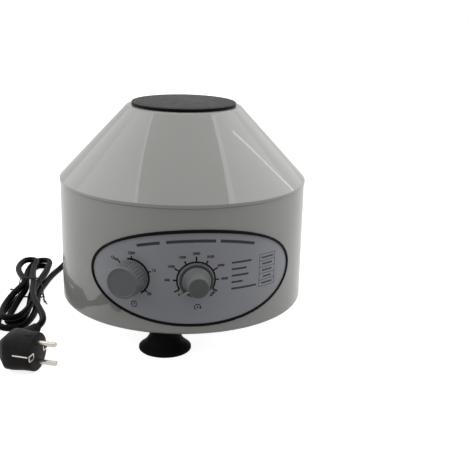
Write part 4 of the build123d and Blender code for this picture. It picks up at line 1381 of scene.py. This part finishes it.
@dataclass
class CordGrip:
    """The ribbed grip where the cord leaves the rear wall."""

    azimuth: float = -150.0
    height: float = 50.0
    wall_face: float = 130.0
    reach: float = 162.0
    root: float = 7.2
    tip: float = 4.8
    ribs: int = 5
    flange: float = 9.0
    neck: float = 6.5
    clip_deep: Pair = (8.4, 5.4)
    flange_thick: float = 2.5
    rib_rows: tuple[Pair, ...] = (
        (0.05, -0.3), (0.12, 0.0), (0.66, -0.25), (0.72, -0.6), (0.9, -0.7), (0.96, -0.4))
    rib_cuts: tuple[int, ...] = (0, 0, 0, 1, 1, 0)
    cut: float = 1.1
    last_cut: float = 0.5

    def shape(self) -> Surface:
        """The grip turned from its outline, its grooves cut deep on two sides in turn.

        The radius of a groove over the angle a drops by a clipped cosine of 2 a, which is turned
        by a quarter from each groove to the next.
        """
        wall, flange, neck, reach = self.wall_face, self.flange, self.neck, self.reach
        start = wall + self.flange_thick
        back, front = (wall - deep for deep in self.clip_deep)
        base = [(0.0, back), (flange, back), (flange, front), (neck, front), (neck, wall), (flange, wall),
                (flange, start - 0.4), (flange - 0.4, start), (self.root + 0.4, start)]
        ribs = ribbed(start, reach, self.root, self.tip, self.ribs, self.rib_rows)
        outline = [*base, *ribs, (self.tip, reach - 0.3), (self.tip - 0.3, reach), (0.0, reach)]
        rib = np.repeat(np.arange(self.ribs), len(self.rib_rows))
        deep = np.where(rib < self.ribs - 1, self.cut, self.last_cut) * np.tile(self.rib_cuts, self.ribs)
        phase, depth = (np.pad(row, (len(base), 3))[:, None] for row in (math.pi * rib, deep))
        angle = even_angles(96)
        sector = np.clip(0.5 + 1.6 * np.cos(2 * angle + phase), 0, 1)
        return turned(np.array(outline), 96, -depth * sector)

    def build(self, bench: Workbench) -> None:
        """Make the grip."""
        surface = self.shape().placed(outwards(self.azimuth, self.height))
        bench.piece("cord_relief", surface, BLACK_PLASTIC, "cord_grip")


@dataclass
class Rotor:
    """The angle rotor: its head, the tube sleeves in it and the nut that holds it."""

    count: int = 6
    lean: float = 35.0
    circle: float = 38.0
    rim: float = 204.0
    bore: float = 10.8
    wall: float = 1.6
    length: float = 104.0
    flange: float = 14.4
    flange_thick: float = 2.5

    def place(self, azimuth: float) -> Array:
        """Place of a sleeve: z runs up and inwards out of its mouth.

        Args:
            azimuth: where it stands round the axis.
        Returns:
            The place.
        """
        lean = math.radians(self.lean)
        side, out = radial(azimuth + 90), radial(azimuth)
        up = out * -math.sin(lean) + np.array([0, 0, math.cos(lean)])
        return framed(side, np.cross(up, side), up, out * self.circle + np.array([0, 0, self.rim]))

    def sleeve(self) -> Surface:
        """A sleeve turned from its wall: round bottom, long cup and flange."""
        outside = self.bore + self.wall
        corners = [
            (0.0, -self.length), (outside, -self.length), (outside, -self.flange_thick),
            (self.flange, -self.flange_thick), (self.flange, 0.0), (self.bore, 0.0),
            (self.bore, self.wall - self.length), (0.0, self.wall - self.length),
        ]
        rounds = {1: 9.0, 3: 0.4, 4: 0.5, 5: 0.5, 6: 8.0}
        return turned(rounded(corners, rounds, 8, closed=False), 72)

    def build(self, bench: Workbench) -> None:
        """Make the sleeves and dress the rest of the rotor."""
        for index in range(self.count):
            surface = self.sleeve().placed(self.place(360.0 / self.count * index))
            name = f"tube_sleeve_{index + 1}"
            bench.piece(f"sleeve_{index + 1}", surface, SLEEVE_METAL, name, body="rotor")
        bench.dress(CAST, "rotor_head")
        bench.dress(ZINC, "rotor_nut", "motor_shaft")
        bench.dress(COPPER, "armature", "commutator")


@dataclass
class Interior:
    """What the housing holds, kept as its CAD nodes and dressed."""

    finishes: tuple[tuple[Finish, tuple[str, ...]], ...] = (
        (SHEET, ("motor_can",)),
        (ZINC, ("bowl_screws", "housing_screws", "foot_studs", "foot_nuts", "damper_bolts", "timer_nut",
                "speed_control_nut", "timer_spindle", "speed_spindle", "upper_bearing", "lower_bearing",
                "motor_plate")),
        (TURNED, ("bowl_pillars", "heat_sink", "chamber_bowl")),
        (CAST, ("motor_upper_bell", "motor_lower_bell")),
        (RUBBER, ("motor_dampers",)),
        (IRON, ("stator_core",)),
        (COPPER, ("field_coils",)),
        (CARBON, ("carbon_brushes",)),
        (BLACK_PLASTIC, ("brush_holders", "filter_capacitor", "fuse_holder", "fuse_cap", "timer_mechanism",
                         "speed_control")),
        (BOARD, ("control_board",)),
        (PRINT_WHITE, ("terminal_block",)),
    )

    def build(self, bench: Workbench) -> None:
        """Dress the nodes."""
        for finish, names in self.finishes:
            bench.dress(finish, *names)


# Cord, plug and tie


@dataclass
class MainsCord:
    """The mains cord: down from the grip, through a tied hank and on to the plug.

    The route repeats the points of the construction. A hank point is (across, along, height)
    about the hank's waist. A fold holds the middle, belly, tip and reach that fold() takes, and the
    layers of its strand out and back. A bend holds the shares of a strand's run, swell and climb.
    """

    grip: CordGrip
    plug: Plug
    radius: float = 3.5
    rest: float = 3.6
    drop_run: float = 14.5
    drop_turn: float = 27.0
    drop_heights: tuple[float, ...] = (50.0, 43.0, 28.0, 12.5, 4.6)
    place: Pair = (-169.7, 52.4)
    turn: float = -9.4
    step: float = 7.8
    nest: float = 7.0
    lift: float = 0.8
    columns: float = 8.2
    length: float = 1506.0
    folds: tuple[tuple[float, float, float, float, int, int], ...] = (
        (0, 18.0, 14.6, -99, 0, 0),
        (-8.5, 9.5, 8.6, 101, 0, 0),
        (0.3, 8.4, 8.0, -84, 0, 0),
        (-6.5, 11.5, 9.5, 100, 1, 1),
        (-1.5, 14.5, 10, -90, 1, 1),
        (-17, 9.5, 8.4, 78, 2, 2),
    )
    bends: tuple[Point, ...] = ((0.32, 0.62, 0.35), (0.62, 1.0, 1.0))
    shoulder: float = 0.577
    crest: float = 0.155
    inward: tuple[Point, ...] = ((10, 67, 0.0), (8.4, 30, 0.4))
    onward: tuple[Pair, ...] = ((8, -25), (14, -47), (22, -66), (30, -84), (37, -101))
    onward_rise: float = 0.4

    def hank_point(self, across: float, along: float, height: float) -> Point:
        """Point of the hank in the object's frame."""
        turn = math.radians(self.turn)
        x = self.place[0] + across * math.cos(turn) - along * math.sin(turn)
        y = self.place[1] + across * math.sin(turn) + along * math.cos(turn)
        return (x, y, height)

    def waist(self) -> list[Pair]:
        """(across, height) of each strand where the tie holds them."""
        low = self.rest + self.lift
        middle, high = low + self.nest, low + self.nest + self.step
        half = self.columns / 2
        return [(self.columns, low), (-self.columns, low), (0, low), (-half, middle), (half, middle),
                (-half, high), (half, high)]

    def fold(self, start: Pair, end: Pair, middle: float, belly: float, tip: float, reach: float,
             low: float, high: float) -> list[Point]:
        """One fold of the hank, from the waist out to its tip and back.

        Args:
            start: (across, height) of the strand that leaves the waist.
            end: the same for the strand that comes back.
            middle: across value of the fold's middle.
            belly: half width where the fold is widest.
            tip: half width at its tip.
            reach: how far it runs along, negative at the near end.
            low: height of the strand out.
            high: height of the strand back.
        Returns:
            The fold's points.
        """
        side = math.copysign(1.0, start[0] - end[0])
        forward = math.copysign(1.0, reach)
        shoulder = reach - forward * tip * (1 - self.shoulder)
        tips = [
            (middle + side * tip, shoulder, low),
            (middle, reach + forward * tip * self.crest, (low + high) / 2),
            (middle - side * tip, shoulder, high),
        ]
        out = self.strand(start, (middle + side * belly, low), reach)
        back = self.strand(end, (middle - side * belly, high), reach)
        return [self.hank_point(*point) for point in out + tips + back[::-1]]

    def strand(self, waist: Pair, belly: Pair, reach: float) -> list[Point]:
        """The two points of a strand between the waist and the belly.

        Args:
            waist: (across, height) at the waist.
            belly: (across, height) at the belly.
            reach: how far the fold runs along.
        Returns:
            The hank points.
        """
        return [
            (waist[0] + (belly[0] - waist[0]) * swell, reach * share,
             waist[1] + (belly[1] - waist[1]) * climb)
            for share, swell, climb in self.bends
        ]

    def route(self) -> list[Point]:
        """The cord's points, from the grip to the plug."""
        out = radial(self.grip.azimuth)
        start = out * self.grip.reach
        points: list[Point] = [(start[0], start[1], self.grip.height)]
        heading = 90.0 + self.grip.azimuth + 180.0
        spot = out * (self.grip.reach + self.drop_run * 0.9)
        for height in self.drop_heights:
            points.append((spot[0], spot[1], height))
            heading += self.drop_turn
            angle = math.radians(heading)
            spot = spot + np.array([math.cos(angle), math.sin(angle), 0]) * self.drop_run
        points += [self.hank_point(across, along, self.rest + rise) for across, along, rise in self.inward]
        waist = self.waist()
        for index, (middle, belly, tip, reach, low, high) in enumerate(self.folds):
            first, second = waist[index], waist[index + 1]
            points.append(self.hank_point(first[0], 0, first[1]))
            heights = [self.rest + self.step * layer for layer in (low, high)]
            points += self.fold(first, second, middle, belly, tip, reach, *heights)
        points.append(self.hank_point(waist[-1][0], 0, waist[-1][1]))
        height = self.plug.spot[2] + self.onward_rise
        points += [self.hank_point(across, along, height) for across, along in self.onward]
        return points + self.plug.cord_points()

    def build(self, bench: Workbench, on_cord: list[bpy.types.Object]) -> None:
        """Make the cord as one smooth line.

        Args:
            bench: where it is dressed and set on its body.
            on_cord: the plug's pieces and the tie; not used.
        """
        route = np.array(self.route()) * MM
        curve = bpy.data.curves.new("mains_lead", "CURVE")
        curve.dimensions = "3D"
        spline = curve.splines.new("NURBS")
        spline.points.add(len(route) - 1)
        spline.points.foreach_set("co", np.column_stack([route, np.ones(len(route))]).ravel())
        spline.order_u = 3
        spline.use_endpoint_u = True
        spline.use_smooth = True
        curve.resolution_u = 12
        curve.render_resolution_u = 0
        curve.bevel_depth = self.radius * MM
        curve.bevel_resolution = 6
        curve.use_fill_caps = True
        lead = add_object("mains_lead", curve)
        bench.settle(lead, CORD_JACKET, ["mains_cord", "cord_hank"])


@dataclass
class CordTie:
    """The twist tie: a band round the hank's waist and its two twisted ends."""

    cord: MainsCord
    width: float = 4.0
    thick: float = 0.7
    side_slack: float = 2.2
    top_slack: float = 0.7
    shoulder_slack: float = 3.2
    floor_gap: float = 0.45
    bend: float = 2.8
    twists: float = 1.6
    ends: tuple[tuple[Point, ...], ...] = (
        ((-13.6, 0, 6), (-19, 5, 5.2), (-24, 14, 3.2), (-29, 21, 1.4)),
        ((13.6, 0, 5), (16, -6, 3.6), (17.5, -14, 2.4), (23, -22, 1.4)),
    )

    def band(self) -> Surface:
        """The band: a flat strip carried round the waist."""
        cord = self.cord
        waist = cord.waist()
        side = cord.columns + cord.radius + self.side_slack + self.thick / 2
        top = waist[-1][1] + cord.radius + self.top_slack + self.thick / 2
        shoulder = cord.columns / 2 + cord.radius + self.shoulder_slack
        corners = [(-side, self.floor_gap), (side, self.floor_gap), (side, waist[3][1]), (shoulder, top),
                   (-shoulder, top), (-side, waist[3][1])]
        line = rounded(corners, dict.fromkeys(range(6), self.bend), 7)[:-1]
        path = np.array([cord.hank_point(across, 0, height) for across, height in line])
        along = ways_round(path)
        level = np.array(cord.hank_point(0, 1, 0)) - np.array(cord.hank_point(0, 0, 0))
        half, thin = self.width / 2, self.thick / 2
        under = [(-half, -thin * 0.5), (-0.5, -thin), (0.5, -thin), (half, -thin * 0.5)]
        over = [(half, thin * 0.5), (0.6, thin), (-0.6, thin), (-half, thin * 0.5)]
        return carried(path, level, np.cross(along, level), under + over, loop=True)

    def twist(self, points: Sequence[Point]) -> Surface:
        """A twisted end: a flat strip that turns evenly as it is carried along its path.

        Args:
            points: the end's hank points.
        Returns:
            The strip.
        """
        path = smooth_path([self.cord.hank_point(*point) for point in points], 12)
        across, up = frames_along(path)
        turn = np.linspace(0, self.twists * 2 * math.pi, len(path))[:, None]
        side = across * np.cos(turn) + up * np.sin(turn)
        flat = up * np.cos(turn) - across * np.sin(turn)
        profile = [(-1.3, -0.2), (0, -0.5), (1.3, -0.2), (1.3, 0.2), (0, 0.5), (-1.3, 0.2)]
        return carried(path, side, flat, profile)

    def build(self, bench: Workbench) -> bpy.types.Object:
        """Make the tie."""
        surface = together([self.band(), *(self.twist(points) for points in self.ends)])
        return bench.piece("wire_tie", surface, TIE_BLACK, "cord_tie")


@dataclass
class Plug:
    """The angled plug: a moulded body, a ribbed boot, two pins and two earth strips."""

    spot: Point = (-149.5, -141.8, 18.8)
    turn: float = -23.4
    radius: float = 18.5
    sections: tuple[tuple[float, float, float, float], ...] = (
        (0.0, 1.2, 1.2, 1.0), (0.4, 0.4, 0.4, 1.0), (1.2, 0.0, 0.0, 1.0), (10.0, 0.0, 0.0, 0.98),
        (15.0, 0.0, 0.0, 0.86), (21.0, 0.3, 0.2, 0.7), (27.4, 1.2, 0.9, 0.6), (28.6, 1.9, 1.6, 0.58),
        (36.4, 9.6, 9.0, 0.56), (37.7, 11.0, 10.4, 0.56), (38.0, 12.4, 11.8, 0.56),
    )
    boss_back: float = 28.0
    boss_reach: float = 26.0
    boot: float = 26.0
    boot_radii: Pair = (8.6, 4.8)
    boot_ribs: int = 6
    boot_rows: tuple[Pair, ...] = ((0.023077, -0.9), (0.3, 0.0), (0.62, -0.1), (0.7, -1.3), (0.95, -1.4))
    pin: float = 2.4
    pin_length: float = 19.0
    pin_spacing: float = 19.0
    pin_root: float = 4.0
    lead_in: float = 13.0
    rail_width: float = 1.3
    rail_span: Pair = (-17.0, -1.4)
    rail_side: float = -1.9
    loop_reach: float = 8.5
    loop_width: float = 5.4
    slot_lean: float = 17.0
    slot_span: Pair = (-21.0, -3.0)

    def place(self) -> Array:
        """Place of the plug: z runs along the pins and x towards the cord."""
        sine, cosine = math.sin(math.radians(self.turn)), math.cos(math.radians(self.turn))
        return framed((-sine, cosine, 0), (0, 0, 1), (cosine, sine, 0), self.spot)

    def cord_points(self) -> list[Point]:
        """The cord's last two points, straight into the boot."""
        end = self.boss_reach + self.boot
        spots = np.array([(reach, 0, -self.boss_back, 1) for reach in (end + self.lead_in, end)])
        spots = spots @ self.place().T
        return [tuple(spot[:3]) for spot in spots]

    def body(self) -> Surface:
        """The body: rings that change from a circle at the face to a rounded block at the back.

        A ring's point at angle a is (w c, h s), where c and s are the cosine and sine of a with
        their sizes raised to a power under 1, which squares the ring. A section holds how far it
        lies behind the face, how far w and h fall short of the radius, and the power.
        """
        sections = np.array([self.sections[0], *self.sections, self.sections[-1]])
        sizes = self.radius - sections[:, 1:3]
        sizes[[0, -1]] = 0.0
        angle, power = even_angles(128), sections[:, 3:]
        across, high = (
            size[:, None] * np.sign(wave) * np.abs(wave) ** power
            for size, wave in zip(sizes.T, (np.cos(angle), np.sin(angle)))
        )
        depth = np.broadcast_to(-sections[:, :1], across.shape)
        return grid(np.stack([across, high, depth], axis=-1), wrap_columns=True)

    def boot_shape(self) -> Surface:
        """The boss and the ribbed boot, turned about x at the body's back."""
        start, end = self.boss_reach, self.boss_reach + self.boot
        root, tip = self.boot_radii
        boss = [(0.0, 0.0), (root, 0.0), (root + 1.0, start - 3.0), (root + 0.6, start - 0.6),
                (root - 0.2, start)]
        ribs = ribbed(start, end, root, tip, self.boot_ribs, self.boot_rows)
        outline = [*boss, *ribs, (tip, end - 0.1), (tip - 0.3, end), (0.0, end)]
        place = framed((0, 0, -1), (0, 1, 0), (1, 0, 0), (0, 0, -self.boss_back))
        return turned(np.array(outline), 72).placed(place)

    def pins(self) -> Surface:
        """Two pins with rounded tips."""
        corners = oblong(0.0, self.pin, -self.pin_root, self.pin_length)
        pin = turned(rounded(corners, {2: 1.8}, 8, closed=False), 40)
        return together(pin.placed(shifted(y=side * self.pin_spacing / 2)) for side in (-1, 1))

    def along_side(self, x: float, y: float, low: float, high: float) -> Array:
        """Straight path along z."""
        return np.column_stack([np.full(12, x), np.full(12, y), np.linspace(low, high, 12)])

    def strips(self) -> Surface:
        """Two earth strips: a rail along the side, and a loop over the edge of the face."""
        half = self.rail_width / 2
        path = self.along_side(self.radius - 0.1, self.rail_side, *self.rail_span)
        rail = carried(path, (0.0, 1.0, 0.0), (1.0, 0.0, 0.0), oblong(-half, half, -0.5, 0.3))
        near, far, side = self.radius - 0.6, self.radius - self.loop_reach, self.loop_width / 2
        corners = [(near, -side), (near, side), (far, side), (far, -side)]
        line = rounded(corners, dict.fromkeys(range(4), 1.2))[:-1]
        ring = np.column_stack([line, np.full(len(line), 0.2)])
        up = (0.0, 0.0, 1.0)
        across, profile = np.cross(up, ways_round(ring)), oblong(-0.7, 0.7, -0.4, 0.2)
        strip = together([rail, carried(ring, across, up, profile, loop=True)])
        return together([strip, strip.placed(spun(180.0))])

    def slots(self) -> Surface:
        """Dark bars beside the body's upper and lower ridge: painted shade that stands for its slots."""
        sine, cosine = math.sin(math.radians(self.slot_lean)), math.cos(math.radians(self.slot_lean))
        out = self.radius - 0.3
        path = self.along_side(-out * sine, out * cosine, *self.slot_span)
        profile = oblong(-0.9, 0.9, -0.6, 0.36)
        slot = carried(path, (cosine, sine, 0.0), (-sine, cosine, 0.0), profile)
        return together([slot, slot.placed(spun(180.0))])

    def build(self, bench: Workbench) -> list[bpy.types.Object]:
        """Make the plug's pieces."""
        return [
            bench.piece(name, surface.placed(self.place()), finish, *replaced)
            for name, surface, finish, *replaced in (
                ("plug_moulding", together([self.body(), self.boot_shape()]), PLUG_BLACK, "plug_body"),
                ("plug_contacts", self.pins(), PLATED, "plug_pins"),
                ("plug_earths", self.strips(), PLATED, "plug_earth_strips"),
                # painted shade standing for the slots
                ("plug_slot_shade", self.slots(), PRINT_AND_SHADE_BLACK),
            )
        ]


# Studio


@dataclass
class Lamp:
    """A flat soft light: its middle, size and power, the point that it faces and its lean."""

    name: str
    spot: Point
    size: Pair
    power: float
    aim: Point
    lean: float = 0.0


@dataclass
class Studio:
    """Floor, lights, world and camera. Lengths here are metres."""

    camera_spot: Point = (-0.0914, -0.9034, 0.3630)
    pitch: float = 16.8215
    roll: float = 1.5652
    yaw: float = 9.4
    focal_pixels: float = 862.43
    sensor: float = 36.0
    floor_half: float = 6.0
    floor_bounce: float = 0.25
    floor_shade: float = 0.6
    floor_glow: float = 0.84
    world_level: float = 0.3
    lamps: tuple[Lamp, ...] = (
        Lamp("left_softbox", (-1.16, 0.15, 0.93), (1.4, 1.3), 9.4, (0.0, 0.15, 0.12)),
        Lamp("right_softbox", (1.1, 0.1, 0.93), (1.35, 1.3), 10.2, (0.0, 0.1, 0.12)),
        Lamp("left_back", (-1.16, 1.5, 0.93), (1.3, 1.3), 5.6, (0.0, 1.5, 0.12)),
        Lamp("right_back", (1.1, 1.43, 0.93), (1.3, 1.3), 5.0, (0.0, 1.43, 0.12)),
        Lamp("right_strip", (0.989, 0.424, 0.849), (0.02, 0.74), 0.15, (0.0, 0.0, 0.2), 26.7),
        Lamp("top_softbox", (0.0, 0.1, 1.9), (2.2, 2.2), 10.6, (0.0, 0.1, 0.0)),
    )

    def camera(self) -> None:
        """Set up the camera: it looks down by the pitch, and its picture is turned by the roll."""
        pitch, roll = math.radians(self.pitch), math.radians(self.roll)
        forward = np.array([0, math.cos(pitch), -math.sin(pitch)])
        side, up = np.array([1.0, 0, 0]), np.array([0, math.sin(pitch), math.cos(pitch)])
        right = math.cos(roll) * side + math.sin(roll) * up
        above = math.cos(roll) * up - math.sin(roll) * side
        turn = spun(-self.yaw)[:3, :3]
        pose = framed(turn @ right, turn @ above, turn @ -forward, self.camera_spot)
        data = bpy.data.cameras.new("camera")
        data.sensor_width = self.sensor
        data.lens = self.focal_pixels / IMAGE_SIZE * self.sensor
        data.clip_end = 50.0
        made = add_object("camera", data)
        made.matrix_world = Matrix(pose.tolist())
        bpy.context.scene.camera = made

    def lights(self) -> None:
        """Hang the lamps, each turned to the point that it faces."""
        for lamp in self.lamps:
            data = bpy.data.lights.new(lamp.name, "AREA")
            data.shape = "RECTANGLE"
            data.size, data.size_y = lamp.size
            data.energy = lamp.power
            made = add_object(lamp.name, data)
            way = Vector(lamp.aim) - Vector(lamp.spot)
            faced = way.to_track_quat("-Z", "Y").to_matrix().to_4x4()
            lean = Matrix.Rotation(math.radians(lamp.lean), 4, "Z")
            made.matrix_world = Matrix.Translation(lamp.spot) @ faced @ lean

    def world(self) -> None:
        """A plain world: white where the camera, gloss or glass sees it, and a soft level elsewhere."""
        world = bpy.data.worlds.new("studio")
        world.use_nodes = True
        bpy.context.scene.world = world
        sky = Nodes(world.node_tree, "ShaderNodeOutputWorld")
        plain, white = (
            sky.node("ShaderNodeBackground", None, {"Color": WHITE, "Strength": level})
            for level in (self.world_level, 1.0)
        )
        sky.show_apart(plain, white)

    def floor(self) -> None:
        """A pale floor that keeps the object's shadow."""
        half = self.floor_half
        mesh = bpy.data.meshes.new("floor")
        mesh.from_pydata([(-half, -half, 0), (half, -half, 0), (half, half, 0), (-half, half, 0)], [],
                         [(0, 1, 2, 3)])
        dye = Dye("floor_pale")
        glow = (dye.noise(300.0, 2.0) - 0.5) * 0.02 + self.floor_glow
        plain, dim = (
            dye.node("ShaderNodeBsdfDiffuse", None, {"Color": (level, level, level, 1)})
            for level in (self.floor_bounce, self.floor_shade)
        )
        light = dye.node("ShaderNodeEmission", None, {"Color": WHITE, "Strength": glow})
        lit = dye.node("ShaderNodeAddShader", None, {0: dim.outputs[0], 1: light.outputs[0]})
        dye.show_apart(plain, lit)
        mesh.materials.append(dye.material)
        add_object("floor", mesh)

    def build(self) -> None:
        """Set up the studio."""
        self.camera()
        self.lights()
        self.world()
        self.floor()
        bpy.context.scene.view_settings.view_transform = "Standard"


def main() -> None:
    """Build the centrifuge round its frame."""
    logging.basicConfig(level=logging.INFO, format="%(message)s")
    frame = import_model()
    bench = Workbench(frame["nodes"])
    Studio().build()
    grip, plug = CordGrip(), Plug()
    cord = MainsCord(grip, plug)
    on_cord = plug.build(bench)
    on_cord.append(CordTie(cord).build(bench))
    cord.build(bench, on_cord)
    Housing().build(bench)
    Lid().build(bench)
    Foot().build(bench)
    panel = Panel()
    panel.build(bench)
    TimerDial(panel).build(bench)
    SpeedDial(panel).build(bench)
    RatingTable(panel).build(bench)
    TimerKnob().build(bench)
    SpeedKnob().build(bench)
    grip.build(bench)
    Rotor().build(bench)
    Interior().build(bench)


if __name__ == "__main__":
    main()
